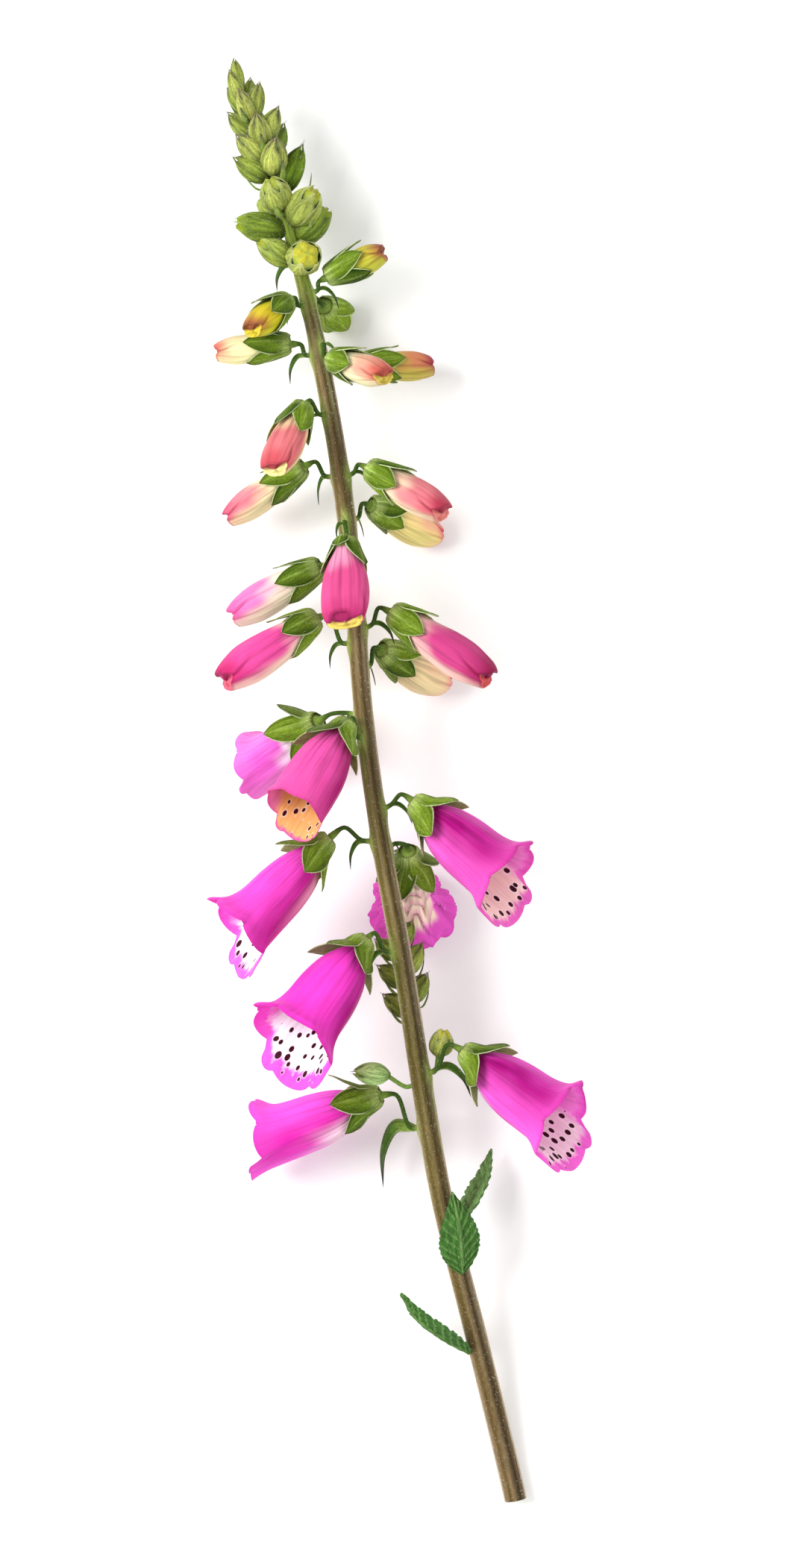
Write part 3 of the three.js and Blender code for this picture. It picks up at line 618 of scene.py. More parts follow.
def down_tree():
    """Fine straight hairs that stand out of a surface, uneven in length and lean."""
    tree, given = node_tree("down on a surface", ("Density", "NodeSocketFloat", 4e5),
        ("Length", "NodeSocketFloat", 0.001), ("Thickness", "NodeSocketFloat", 0.00004),
        ("Lean", "NodeSocketFloat", 0.6), ("Seed", "NodeSocketInt", SEED),
        ("Material", "NodeSocketMaterial", None))
    spots = add(tree, "GeometryNodeDistributePointsOnFaces", {"Mesh": given.outputs["Geometry"],
        "Density": given.outputs["Density"], "Seed": given.outputs["Seed"]})
    hair = add(tree, "GeometryNodeMeshCone", {"Vertices": 3, "Radius Bottom": given.outputs["Thickness"],
        "Depth": given.outputs["Length"]})
    back = add(tree, "ShaderNodeMath", {0: given.outputs["Lean"], 1: -1.0}, operation="MULTIPLY")
    least = add(tree, "ShaderNodeCombineXYZ", {"X": back, "Y": back})
    most = add(tree, "ShaderNodeCombineXYZ", {"X": given.outputs["Lean"], "Y": given.outputs["Lean"]})
    lean = add(tree, "FunctionNodeRandomValue", {0: least, 1: most, "Seed": given.outputs["Seed"]},
        data_type="FLOAT_VECTOR")
    turned = add(tree, "FunctionNodeEulerToRotation", {0: lean})
    aim = add(tree, "FunctionNodeRotateRotation", {0: spots.outputs["Rotation"], 1: turned},
        rotation_space="LOCAL")
    size = add(tree, "FunctionNodeRandomValue", {2: 0.5, 3: 1.25, "Seed": given.outputs["Seed"]},
        data_type="FLOAT")
    hairs = add(tree, "GeometryNodeInstanceOnPoints", {"Points": spots.outputs["Points"],
        "Instance": hair.outputs["Mesh"], "Rotation": aim, "Scale": size.outputs[1]})
    return close_tree(tree, hairs, given.outputs["Material"])


def bud_tree():
    """One green bud set on every point, by the point's own axes and size."""
    tree, given = node_tree("green buds on their points", ("Bud", "NodeSocketObject", None),
        ("Material", "NodeSocketMaterial", None))
    bud = add(tree, "GeometryNodeObjectInfo", {"Object": given.outputs["Bud"]})
    along = add(tree, "GeometryNodeInputNamedAttribute", {"Name": "along"}, data_type="FLOAT_VECTOR")
    upper = add(tree, "GeometryNodeInputNamedAttribute", {"Name": "upper"}, data_type="FLOAT_VECTOR")
    size = add(tree, "GeometryNodeInputNamedAttribute", {"Name": "size"}, data_type="FLOAT_VECTOR")
    aim = add(tree, "FunctionNodeAxesToRotation", {0: along, 1: upper}, primary_axis="Y",
        secondary_axis="Z")
    buds = add(tree, "GeometryNodeInstanceOnPoints", {"Points": given.outputs["Geometry"],
        "Instance": bud.outputs["Geometry"], "Rotation": aim, "Scale": size})
    return close_tree(tree, buds, given.outputs["Material"])


def stalk_tree():
    """A round tube along every path, as thick as the path's own points say."""
    tree, given = node_tree("round stalks along paths", ("Sides", "NodeSocketInt", 12),
        ("Material", "NodeSocketMaterial", None))
    paths = add(tree, "GeometryNodeMeshToCurve", {"Mesh": given.outputs["Geometry"]})
    ring = add(tree, "GeometryNodeCurvePrimitiveCircle", {"Resolution": given.outputs["Sides"],
        "Radius": 1.0})
    thick = add(tree, "GeometryNodeInputNamedAttribute", {"Name": "thick"}, data_type="FLOAT")
    tube = add(tree, "GeometryNodeCurveToMesh", {"Curve": paths, "Profile Curve": ring, "Scale": thick,
        "Fill Caps": True})
    return close_tree(tree, tube, given.outputs["Material"])


# Materials

def blank(name):
    """A new material, its tree, and its shader, which already feeds the output."""
    material = bpy.data.materials.new(name)
    material.use_nodes = True
    material.node_tree.nodes.clear()
    shader = add(material.node_tree, "ShaderNodeBsdfPrincipled")
    add(material.node_tree, "ShaderNodeOutputMaterial", {"Surface": shader})
    return material, material.node_tree, shader


def finish(tree, shader, colour, height, relief_mm, **values):
    """Feeds a shader with a colour and a fine relief, and sets its plain values."""
    bump = add(tree, "ShaderNodeBump", {"Strength": 1.0, "Distance": relief_mm * MM, "Height": height})
    tree.links.new(colour, shader.inputs["Base Color"])
    tree.links.new(bump.outputs[0], shader.inputs["Normal"])
    for key, value in values.items():
        shader.inputs[key.replace("_", " ")].default_value = value


def petal_satin(looks):
    """Corolla: thin living petal, satin, with faint veins along it, and light glows through it.

    Inside, dark spots with a pale ring sit on the lower side. Veins are about 1.2 mm apart.
    """
    material, tree, shader = blank("corolla_petal_grown_satin")
    paint = add(tree, "ShaderNodeAttribute", attribute_name="paint")
    marks = add(tree, "ShaderNodeAttribute", attribute_name="marks")
    pattern = add(tree, "ShaderNodeUVMap", uv_map="pattern_mm")
    drawn_out = add(tree, "ShaderNodeMapping", {"Vector": pattern, "Scale": (1 / 1.2, 1 / 34, 1)})
    veins = add(tree, "ShaderNodeTexNoise", {"Vector": drawn_out, "Scale": 1.0, "Detail": 3.0,
        "Roughness": 0.55}, noise_dimensions="2D")
    along = add(tree, "ShaderNodeSeparateXYZ", {0: pattern})
    faint = add(tree, "ShaderNodeMapRange", {"Value": along.outputs["Y"], "From Min": 8.0, "From Max": 34.0,
        "To Min": 0.56, "To Max": 0.86})
    depth = add(tree, "ShaderNodeMapRange", {"Value": veins, "From Min": 0.32, "From Max": 0.55,
        "To Min": faint, "To Max": 0.98})
    veined = add(tree, "ShaderNodeMix", {"Factor": 1.0, 6: paint.outputs["Color"], 7: depth},
        data_type="RGBA", blend_type="MULTIPLY")
    spacing = looks.spot_spacing / MM
    cells = add(tree, "ShaderNodeMapping", {"Vector": pattern, "Scale": (1 / spacing, 0.6 / spacing, 1)})
    spots = add(tree, "ShaderNodeTexVoronoi", {"Vector": cells, "Scale": 1.0, "Randomness": 0.78},
        voronoi_dimensions="2D")
    chance = add(tree, "ShaderNodeSeparateColor", {0: spots.outputs["Color"]})
    present = add(tree, "ShaderNodeMath", {0: chance.outputs["Green"], 1: 0.2}, operation="GREATER_THAN")
    radius = add(tree, "ShaderNodeMapRange", {"Value": chance.outputs["Red"], "To Min": 0.17,
        "To Max": 0.31})
    allowed = add(tree, "ShaderNodeMath", {0: radius, 1: present}, operation="MULTIPLY")
    sized = add(tree, "ShaderNodeMath", {0: allowed, 1: marks.outputs["Fac"]}, operation="MULTIPLY")
    inside = add(tree, "ShaderNodeMath", {0: sized, 1: spots.outputs["Distance"]}, operation="SUBTRACT")
    spot = add(tree, "ShaderNodeMapRange", {"Value": inside, "From Min": -0.02, "From Max": 0.03})
    near = add(tree, "ShaderNodeMapRange", {"Value": inside, "From Min": -0.13, "From Max": -0.05})
    faintly = add(tree, "ShaderNodeMath", {0: near, 1: 0.4}, operation="MULTIPLY")
    ring = add(tree, "ShaderNodeMath", {0: faintly, 1: marks.outputs["Fac"]}, operation="MULTIPLY")
    ringed = add(tree, "ShaderNodeMix", {"Factor": ring, 6: veined.outputs[2], 7: (*linear("#fdf3f4"), 1)},
        data_type="RGBA")
    spotted = add(tree, "ShaderNodeMix", {"Factor": spot, 6: ringed.outputs[2], 7: (*linear("#3a0a1c"), 1)},
        data_type="RGBA")
    finish(tree, shader, spotted.outputs[2], veins.outputs[0], 0.3, Roughness=0.5, Subsurface_Weight=0.1,
        Subsurface_Radius=(1.0, 0.25, 0.7), Subsurface_Scale=1.2 * MM, Sheen_Weight=0.01,
        Sheen_Roughness=0.4, Specular_IOR_Level=0.07)
    return material


def green_downy(name, grain_mm, relief_mm, contrast, **values):
    """Sepals, stalks, bracts and green buds: soft green tissue under a short down.

    Its colour wavers a little over each grain, and fine veins about 0.5 mm apart run along it.
    """
    material, tree, shader = blank(name)
    paint = add(tree, "ShaderNodeAttribute", attribute_name="paint")
    place = add(tree, "ShaderNodeTexCoord")
    grain = add(tree, "ShaderNodeTexNoise", {"Vector": place.outputs["Object"],
        "Scale": 1 / (grain_mm * MM), "Detail": 4.0, "Roughness": 0.6})
    waver = add(tree, "ShaderNodeMapRange", {"Value": grain, "From Min": 0.3, "From Max": 0.7,
        "To Min": 0.9 - contrast, "To Max": 0.9 + contrast})
    pattern = add(tree, "ShaderNodeUVMap", uv_map="pattern_mm")
    drawn_out = add(tree, "ShaderNodeMapping", {"Vector": pattern, "Scale": (1 / 0.5, 1 / 8, 1)})
    fibres = add(tree, "ShaderNodeTexNoise", {"Vector": drawn_out, "Scale": 1.0, "Detail": 3.0,
        "Roughness": 0.6}, noise_dimensions="2D")
    streak = add(tree, "ShaderNodeMapRange", {"Value": fibres, "From Min": 0.34, "From Max": 0.66,
        "To Min": 0.62, "To Max": 1.26})
    both = add(tree, "ShaderNodeMath", {0: waver, 1: streak}, operation="MULTIPLY")
    mottled = add(tree, "ShaderNodeMix", {"Factor": 1.0, 6: paint.outputs["Color"], 7: both},
        data_type="RGBA", blend_type="MULTIPLY")
    rough = add(tree, "ShaderNodeMath", {0: grain, 1: fibres}, operation="ADD")
    finish(tree, shader, mottled.outputs[2], rough.outputs[0], relief_mm,
        **{"Roughness": 0.55, "Subsurface_Weight": 0.06, "Subsurface_Radius": (0.6, 1.0, 0.2),
        "Subsurface_Scale": 1 * MM, "Sheen_Weight": 0.01, "Sheen_Roughness": 0.5,
        "Specular_IOR_Level": 0.06, **values})
    return material


def stem_fibre():
    """Stem: living green and brown tissue, fibrous along its length, with fibres about 0.4 mm apart."""
    material, tree, shader = blank("stem_fibre_grown_ribbed")
    paint = add(tree, "ShaderNodeAttribute", attribute_name="paint")
    place = add(tree, "ShaderNodeTexCoord")
    drawn_out = add(tree, "ShaderNodeMapping", {"Vector": place.outputs["Object"],
        "Scale": (1 / (0.4 * MM), 1 / (11 * MM), 1 / (0.4 * MM))})
    fibres = add(tree, "ShaderNodeTexNoise", {"Vector": drawn_out, "Scale": 1.0, "Detail": 4.0,
        "Roughness": 0.62})
    waver = add(tree, "ShaderNodeMapRange", {"Value": fibres, "From Min": 0.3, "From Max": 0.7,
        "To Min": 0.6, "To Max": 1.32})
    streaked = add(tree, "ShaderNodeMix", {"Factor": 1.0, 6: paint.outputs["Color"], 7: waver},
        data_type="RGBA", blend_type="MULTIPLY")
    finish(tree, shader, streaked.outputs[2], fibres.outputs[0], 0.25, Roughness=0.6, Sheen_Weight=0.03,
        Sheen_Roughness=0.45, Specular_IOR_Level=0.15, Subsurface_Weight=0.05, Subsurface_Scale=0.8 * MM)
    return material


def plain_tissue(name, colour, **values):
    """Hair and floor: one colour, with a faint grain so that it isn't flat."""
    material, tree, shader = blank(name)
    place = add(tree, "ShaderNodeTexCoord")
    grain = add(tree, "ShaderNodeTexNoise", {"Vector": place.outputs["Object"], "Scale": 300.0,
        "Detail": 2.0})
    tint = np.array(colour)
    soft = add(tree, "ShaderNodeMix", {"Factor": grain, 6: (*tint * 0.97, 1), 7: (*tint, 1)},
        data_type="RGBA")
    finish(tree, shader, soft.outputs[2], grain.outputs[0], 0.02, **values)
    return material


# The stem

def ribbed_radius(height, turn, looks):
    """The stem's radius with its lengthwise ribs, and with a swelling under every flower stalk."""
    radius = through(STEM_RADIUS, height)
    twist = turn + 0.05 * height
    ribs = cosine(7 * twist) + 0.5 * cosine(12 * twist + 60)
    radius = radius + looks.rib_depth / MM * ribs * 0.5 * (radius / 3.75)
    for flower in FLOWERS:
        away = apart(turn, flower["turn"])
        radius = radius + 0.75 * np.exp(-((height - flower["at"] + 0.8) / 3.2) ** 2 - (away / 30) ** 2)
    return radius


def stem_paint(height, turn):
    """Brown and purplish below, darker along its right side as painted shade, with a pale painted sheen of
    down on its edges, and green in the head.
    """
    twist = turn + 0.05 * height
    rib = 0.5 + 0.5 * cosine(7 * twist)
    away = apart(turn)
    # Painted shade: darker along the stem's right side, away from the light.
    shade = hump(away - 34, 30) * (0.75 + 0.25 * ripple(np.radians(turn), height / 40, 4))
    # Painted sheen: the down seen edge-on makes both edges of the stem pale; the same pale colour also marks
    # pale streaks on the ribs.
    edge = smooth(np.abs(away), 52, 76)
    olive = 0.7 * hump(height - 170, 80)
    streak = 0.5 + 0.5 * ripple(np.radians(turn) * 2, height / 17, 3)
    brown = coated(linear(STEM_BROWN), (STEM_OLIVE, olive), (STEM_DARK, 0.3 * (1 - rib) + 0.8 * shade),
        (STEM_PALE_AND_SHEEN, np.maximum(0.3 * streak * rib, 0.8 * edge)))
    # The head's green is paler at its edges too, as painted sheen of the down.
    green = coated(linear(HEAD_GREEN), (STEM_GREEN, 0.4 + 0.6 * rib), ("#b9c884", 0.6 * edge))
    paint = mixed(brown, green, smooth(height + 5 * sine(turn), 405, 432))
    for flower in FLOWERS:
        away = apart(turn, flower["turn"])
        near = np.exp(-((height - flower["at"]) / 4.5) ** 2 - (away / 30) ** 2)
        below = flower["at"] - height
        ridge = smooth(below, -1, 2) * (1 - smooth(below, 8, 42)) * hump(away, 13)
        ridge *= 0.6 - 0.4 * smooth(height, 200, 320)
        paint = coated(paint, ("#9db458", np.maximum(0.8 * near, ridge)))
    return paint


def stem_surface_grid(heights, looks, columns):
    turn = np.arange(columns) * 360 / columns
    height, turn = np.meshgrid(heights, turn, indexing="ij")
    points = stem_point(height) + outward(turn) * ribbed_radius(height, turn, looks)[..., None]
    points[..., 2] = np.maximum(points[..., 2], 0)
    return points, stem_paint(height, turn)


def build_stem(looks):
    """The stem from its cut end to the head, with pale pith on the cut."""
    points, paint = stem_surface_grid(np.linspace(0, HEAD_START, STEM_ROWS), looks, STEM_COLUMNS)
    foot = stem_point(0)
    rings = [(0, PITH, 0.6), (0.35, PITH, 0.5), (0.7, "#cfd7a0", 0.1), (0.86, "#8fa05c", 0),
        (0.96, STEM_BROWN, 0)]
    cut = [foot + (points[0] - foot) * part + (0, sunk, 0) for part, _, sunk in rings]
    cut_paint = [np.broadcast_to(linear(colour), points[0].shape) for _, colour, _ in rings]
    top = np.broadcast_to(stem_point(HEAD_START), points[0].shape)
    stem = Tissue()
    stem.grid(np.concatenate([cut, points, [top]]), np.concatenate([cut_paint, paint, [paint[-1]]]))
    return stem.mesh("stem_tissue")


# Corollas

def lobe_sum(turn, column):
    total = np.zeros_like(turn)
    for lobe in LOBES:
        away = np.abs(apart(turn, lobe[0]))
        total += lobe[column] * np.clip(1 - (away / lobe[1]) ** 2, 0, None) ** lobe[4]
    return total


def lowness(turn):
    """0 on a flower's upper side and 1 on its under side."""
    return (1 - cosine(turn)) / 2


def bell_skin(flower):
    """The outside of a bell: a point for each place along it (0 to 1) and each turn round it."""
    length, opened = flower["length"], flower["open"]

    def skin(t, turn):
        t, turn = np.broadcast_arrays(np.asarray(t, float), np.asarray(turn, float))
        late = smooth(t, LOBE_START, 1)
        flare = lobe_sum(turn, 3) * opened - 0.035 * (1 - opened)
        under = 0.07 * lowness(turn) * np.sin(math.pi * np.minimum(t, 1))
        radius = length * (through(BELL_PROFILE, t) * flower["girth"] * (1 + under) + flare * late ** 2)
        reach = lobe_sum(turn, 2) * (0.45 + 0.55 * min(opened, 1))
        forward = length * (MOUTH * t + reach * late)
        return np.stack([radius * sine(turn), forward, radius * cosine(turn)], axis=-1)
    return skin


def bud_skin(flower, profile=BUD_PROFILE, pressed=0.0):
    """As bell_skin, for a bud. pressed is how far its end is flattened from above."""
    length, belly = flower["length"], flower["belly"]

    def skin(t, turn):
        t, turn = np.broadcast_arrays(np.asarray(t, float), np.asarray(turn, float))
        radius = belly * through(profile, t)
        wide = 1 + (BUD_WIDTH - 1) * smooth(t, 0.1, 0.5)
        high = 1 - pressed * smooth(t, 0.7, 1)
        return np.stack([wide * radius * sine(turn), length * t, high * radius * cosine(turn)], axis=-1)
    return skin


def skin_normal(skin, t, turn):
    t = np.asarray(t, float)
    lengthwise = skin(np.minimum(t + 0.01, 1), turn) - skin(np.maximum(t - 0.01, 0.004), turn)
    place = np.maximum(t, 0.02)
    around = skin(place, turn + 2) - skin(place, turn - 2)
    return unit(np.cross(around, lengthwise))


def foot_of(flower):
    """Where the corolla starts on the floor of its cup, as a part of its length."""
    return (CUP_FLOOR + GAP) / (flower["length"] * (MOUTH if "open" in flower else 1))


def folds(t, turn):
    """Scalloped folds round a crumpled corolla: 0 in a crease, rising to 1 at the edge of each fold."""
    scallop = np.abs(np.sin(np.radians(turn) * 4 + 2 * t)) + 0.3 * ripple(np.radians(turn) * 5, t * 9, 3)
    return (t * 6.5 + 0.9 * scallop) % 1


def rim_shape(flower, t, turn):
    """How far the rim of a mouth rolls out and waves, in millimetres."""
    edge = smooth(t, 0.84, 1.0)
    low = lowness(turn)
    opened = min(flower["open"], 1)
    roll = flower["length"] * opened * edge ** 2 * (0.05 * (1 - low) + 0.015 * low)
    wave = 0.6 * edge * ripple(np.radians(turn) * 4, t * 5, 20 + int(flower["at"]))
    crumple = 1.2 * (1 - folds(t, turn)) if flower["open"] > 1.5 else 0
    return roll + wave * (0.4 + 0.6 * flower["open"]) - crumple * smooth(t, 0.35, 0.6)


def build_bell(flower, looks):
    """One open bell: the outside, the rolled rim and the inside down to its narrow neck."""
    skin = bell_skin(flower)
    turn = np.arange(BELL_COLUMNS) * 360 / BELL_COLUMNS
    wall = looks.petal_wall / MM
    outside = np.concatenate([np.linspace(foot_of(flower), 0.7, 30), np.linspace(0.7, 1, 36)[1:]])
    inside = np.concatenate([np.linspace(1, 0.7, 32), np.linspace(0.7, 0.14, 26)[1:]])

    def surface(places, depth):
        t, angle = np.meshgrid(places, turn, indexing="ij")
        normal = skin_normal(skin, t, angle)
        ribs = 0.22 * cosine(angle * 10) * smooth(t, 0.1, 0.3) * (1 - smooth(t, 0.75, 0.95))
        return skin(t, angle) + normal * (rim_shape(flower, t, angle) + ribs - depth)[..., None], t, angle

    outer, t_out, turn_out = surface(outside, 0)
    inner, t_in, turn_in = surface(inside, wall * (1 - 0.45 * smooth(inside, 0.9, 1))[:, None])
    rim = 0.5 * (outer[-1] + inner[0]) + 0.5 * wall * unit(outer[-1] - outer[-3])
    points = np.concatenate([[pole(CUP_FLOOR + GAP, rim)], outer, [rim], inner,
        [pole(0.12 * flower["length"], rim)]])
    paint_out = bell_paint(flower, t_out, turn_out, False)
    paint_in = bell_paint(flower, t_in, turn_in, True)
    paint = np.concatenate([paint_out[:1], paint_out, paint_out[-1:], paint_in, paint_in[-1:]])
    marks = np.zeros(points.shape[:2])
    marks[len(outside) + 2:-1] = spot_places(t_in, turn_in)
    pattern = vein_pattern(points, flower, BELL_MEAN_RADIUS * flower["length"])
    bell = Tissue()
    bell.grid(placed(points, flower), paint, pattern=pattern, marks=marks)
    return bell.mesh(flower["name"] + "_petal")


def vein_pattern(points, flower, radius):
    """Coordinates in millimetres for the veins: round the corolla, and along it from its foot."""
    columns = points.shape[1]
    round_it = np.arange(columns + 1) * 360 / columns / 360 * (2 * math.pi * radius) + 13 * flower["at"]
    forward = points[..., 1]
    return np.stack(np.broadcast_arrays(round_it, np.hstack([forward, forward[:, :1]])), axis=-1)


def spot_places(t, turn):
    """Where the inside of a bell is spotted: on the lower side, from the throat to the lip."""
    return smooth(lowness(turn), 0.62, 0.8) * smooth(t, 0.2, 0.4) * (1 - smooth(t, 0.93, 1.0))


def bell_paint(flower, t, turn, inside):
    """Outside: deep at the neck, with painted shade along the flank turned to the stem, and pale under the
    base.

    Inside: a pale spotted lip with a ragged pink rim.
    """
    petal, deep, pale, throat = (linear(colour) for colour in flower["colours"][:4])
    pale_reach, throat_from, rim_from = flower["colours"][4:]
    low = lowness(turn)
    seed = int(flower["at"])
    uneven = ripple(np.radians(turn) * 3, t * 9, seed)
    if inside:
        pink = mixed(petal, linear("#ffffff"), 0.12)
        lit = smooth(low + 0.08 * uneven, throat_from, throat_from + 0.24)
        paint = mixed(pink, throat, lit)
        ragged = t + 0.022 * ripple(np.radians(turn) * 17, t * 40, seed + 1) + 0.012 * uneven
        margin = smooth(ragged, rim_from, rim_from + 0.035)
        return mixed(paint, petal, 0.95 * margin)
    # Painted shade: the deep colour along the flank that faces away from the light.
    away = apart(turn, SHADED_SIDE_LEFT if flower["face"] < 0 else SHADED_SIDE_RIGHT)
    shade = 0.95 * hump(away, 46) * smooth(t, 0.0, 0.25) * (1 - 0.45 * smooth(t, 0.8, 1))
    neck = 0.6 * (1 - smooth(t, 0.1, 0.34)) * (1 - low)
    paint = mixed(petal, deep, np.maximum(shade, neck) + 0.12 * uneven)
    under = smooth(low, 0.55, 0.98) * (1 - smooth(t + 0.06 * uneven, pale_reach * 0.7, pale_reach * 1.5))
    paint = mixed(paint, pale, under)
    if flower["name"] == "bell_8":
        blotch = smooth(uneven, -0.8, 0.1) * (1 - smooth(t, pale_reach * 0.75, pale_reach))
        paint = mixed(paint, pale, 0.9 * blotch)
    if flower["name"] == "bell_4":
        fold = folds(t, turn)
        cream = smooth(low + 0.06 * uneven, 0.76, 0.86) * (1 - smooth(t + 0.05 * fold, 0.86, 0.93))
        # Painted shade: the dark colour in the creases between the folds.
        folded = mixed(mixed(pale, linear("#f0a4c0"), 0.8 * smooth(fold, 0.4, 0.95)),
            linear("#a04c5c"), 0.85 * (1 - smooth(fold, 0.08, 0.3)))
        paint = mixed(petal, folded, cream)
    return mixed(paint, deep, 0.35 * smooth(t, 0.965, 1))


def build_bud(flower):
    """One coloured bud: a blunt hood with a notch on each side, closed by lobes folded over each other."""
    skin = bud_skin(flower, HOOD_PROFILE, HOOD_PRESSED)
    length, belly = flower["length"], flower["belly"]
    turn = np.arange(BUD_COLUMNS) * 360 / BUD_COLUMNS
    away = np.abs(apart(turn))
    low = lowness(turn)
    hood_end = 0.985 - 0.05 * hump(away - 84, 20) - 0.02 * low
    # The bud that faces the viewer has parted far enough to show its lower lip.
    if flower["name"] == "bud_5":
        hood_end = hood_end - 0.08 * np.exp(-(away / 42) ** 4)
    share = np.concatenate([np.linspace(0, 0.75, 26), np.linspace(0.75, 1, 24)[1:]])
    foot = foot_of(flower)
    t_hood = foot + (hood_end - foot) * share[:, None]
    angle = np.broadcast_to(turn, t_hood.shape)
    seed = int(flower["at"])
    keel = hump(apart(angle), 9) * smooth(t_hood, 0.3, 0.7)
    side_fold = hump(away - 66 - 26 * smooth(t_hood, 0.62, 1), 5) * smooth(t_hood, 0.62, 0.86)
    low_fold = hump(away - 128 + 10 * smooth(t_hood, 0.55, 1), 6) * smooth(t_hood, 0.5, 0.8)
    swell = 0.03 * belly * ripple(np.radians(angle) * 3, t_hood * 6, seed)
    off = swell - 0.09 * belly * side_fold - 0.06 * belly * low_fold + 0.03 * belly * keel
    hood = skin(t_hood, angle) + skin_normal(skin, t_hood, angle) * off[..., None]
    # The edge rolls in over about a millimetre, and behind it the folded lobes bulge between their seams.
    edge, cap = hood[-1], []
    for part, forward in ((0.93, 0.45), (0.84, 0.55), (0.77, 0.1)):
        row = edge * (part, 1, part)
        row[:, 1] = edge[:, 1] + forward
        cap.append(row)
    seam = np.abs(cosine(turn * 1.5 + 90))
    for part in (0.68, 0.54, 0.38, 0.2, 0.0):
        row = edge * (part, 1, part)
        bulge = 0.16 * belly * (1 - seam ** 6) * math.sin(math.pi * min(part + 0.25, 1))
        row[:, 1] = edge[:, 1] * part + (1 - part) * 0.955 * length + bulge - 0.5
        row[:, 2] -= (1 - part) * 0.12 * belly
        cap.append(row)
    points = np.concatenate([[pole(CUP_FLOOR + GAP, edge)], hood, cap])
    root, upper, tip, lip = (linear(colour) for colour in flower["colours"][:4])
    side = 1 - lowness(angle)
    uneven = ripple(np.radians(angle) * 3, t_hood * 8, 40 + seed)
    start = flower["colours"][4]
    cover = smooth(t_hood + 0.1 * uneven, start, start + 0.36)
    paint = mixed(root, upper, cover * smooth(side + 0.06 * uneven, start * 0.5, start * 0.5 + 0.3))
    paint = mixed(paint, tip,
        smooth(t_hood + 0.05 * uneven, 0.72, 1.0) * (0.2 + 0.8 * smooth(side, 0.05, 0.5)))
    # Painted shade in the side and lower folds, with a darker line along the keel.
    crease_shade = np.clip(0.9 * side_fold + 0.5 * low_fold + 0.3 * keel, 0, 0.9)
    paint = mixed(paint, mixed(paint, tip, 0.5) * (0.62, 0.5, 0.55), crease_shade)
    paint = mixed(paint, tip * 0.6, 0.5 * smooth(t_hood, hood_end - 0.02, hood_end))
    inner = mixed(tip * 0.8, lip, smooth(low, 0.35, 0.6))
    inner = mixed(inner, inner * 0.75, seam ** 10)
    paint = np.concatenate([paint[:1], paint, [inner] * len(cap)])
    pattern = vein_pattern(points, flower, belly)
    bud = Tissue()
    bud.grid(placed(points, flower), paint, pattern=pattern)
    return bud.mesh(flower["name"] + "_petal")


# Green parts

def sepal_middle(flower, skin, centre, width, reach, layer, curl, spread):
    """Middle points of a ribbed sepal that lies along the corolla and lifts off it towards its point."""
    rows, columns = 26, 19
    share, side = np.meshgrid(np.linspace(0, 1, rows), np.sin(np.linspace(-1, 1, columns) * math.pi / 2),
        indexing="ij")
    height = 1.0 + (reach - 1.0) * share
    per_mm = foot_of(flower) / (CUP_FLOOR + GAP)
    t = height * per_mm
    around = np.linalg.norm(skin(t, centre)[..., (0, 2)], axis=-1) + 0.8
    half = width * through(SEPAL_OUTLINE, share)
    angle = centre + np.clip(np.degrees(side * half / around), -56, 56)
    lift = SEPAL_STAND_OFF + layer + spread * share ** 2.0
    margin = 0.75 * np.abs(side) ** 4 * smooth(share, 0.1, 0.5) * (1 - share)
    cupped = (margin - 0.45 * curl * (1 - side ** 2) * smooth(share, 0.5, 1)
        + 0.5 * (1 - side ** 2) * (1 - share))
    ribs = hump(side, 0.09) + 0.6 * hump(np.abs(side) - 0.42, 0.08)
    off = lift + cupped + 0.2 * ribs * (1 - 0.6 * share)
    return skin(t, angle) + skin_normal(skin, t, angle) * off[..., None], share, side


def sepal_paint(share, side, tone):
    """Green, with painted shade darkening it towards the margin, with pale margins, veins and foot."""
    edge = np.abs(side)
    veins = hump(side, 0.07) + 0.7 * hump(edge - 0.42, 0.06)
    # Painted shade: darker towards the margins, where the sepals overlap.
    return coated(linear(SEPAL_GREEN), (SEPAL_DARK, 0.22 + 0.42 * tone + 0.5 * edge ** 2.5),
        ("#a9c46a", 0.5 * np.clip(veins, 0, 1) * (1 - 0.6 * share)),
        ("#b5c878", 0.55 * (1 - smooth(share, 0, 0.3))),
        (SEPAL_PALE, 0.95 * smooth(edge, 0.9, 0.97) * (1 - 0.3 * share)),
        (BUD_TIP, 0.5 * smooth(share, 0.92, 1)))


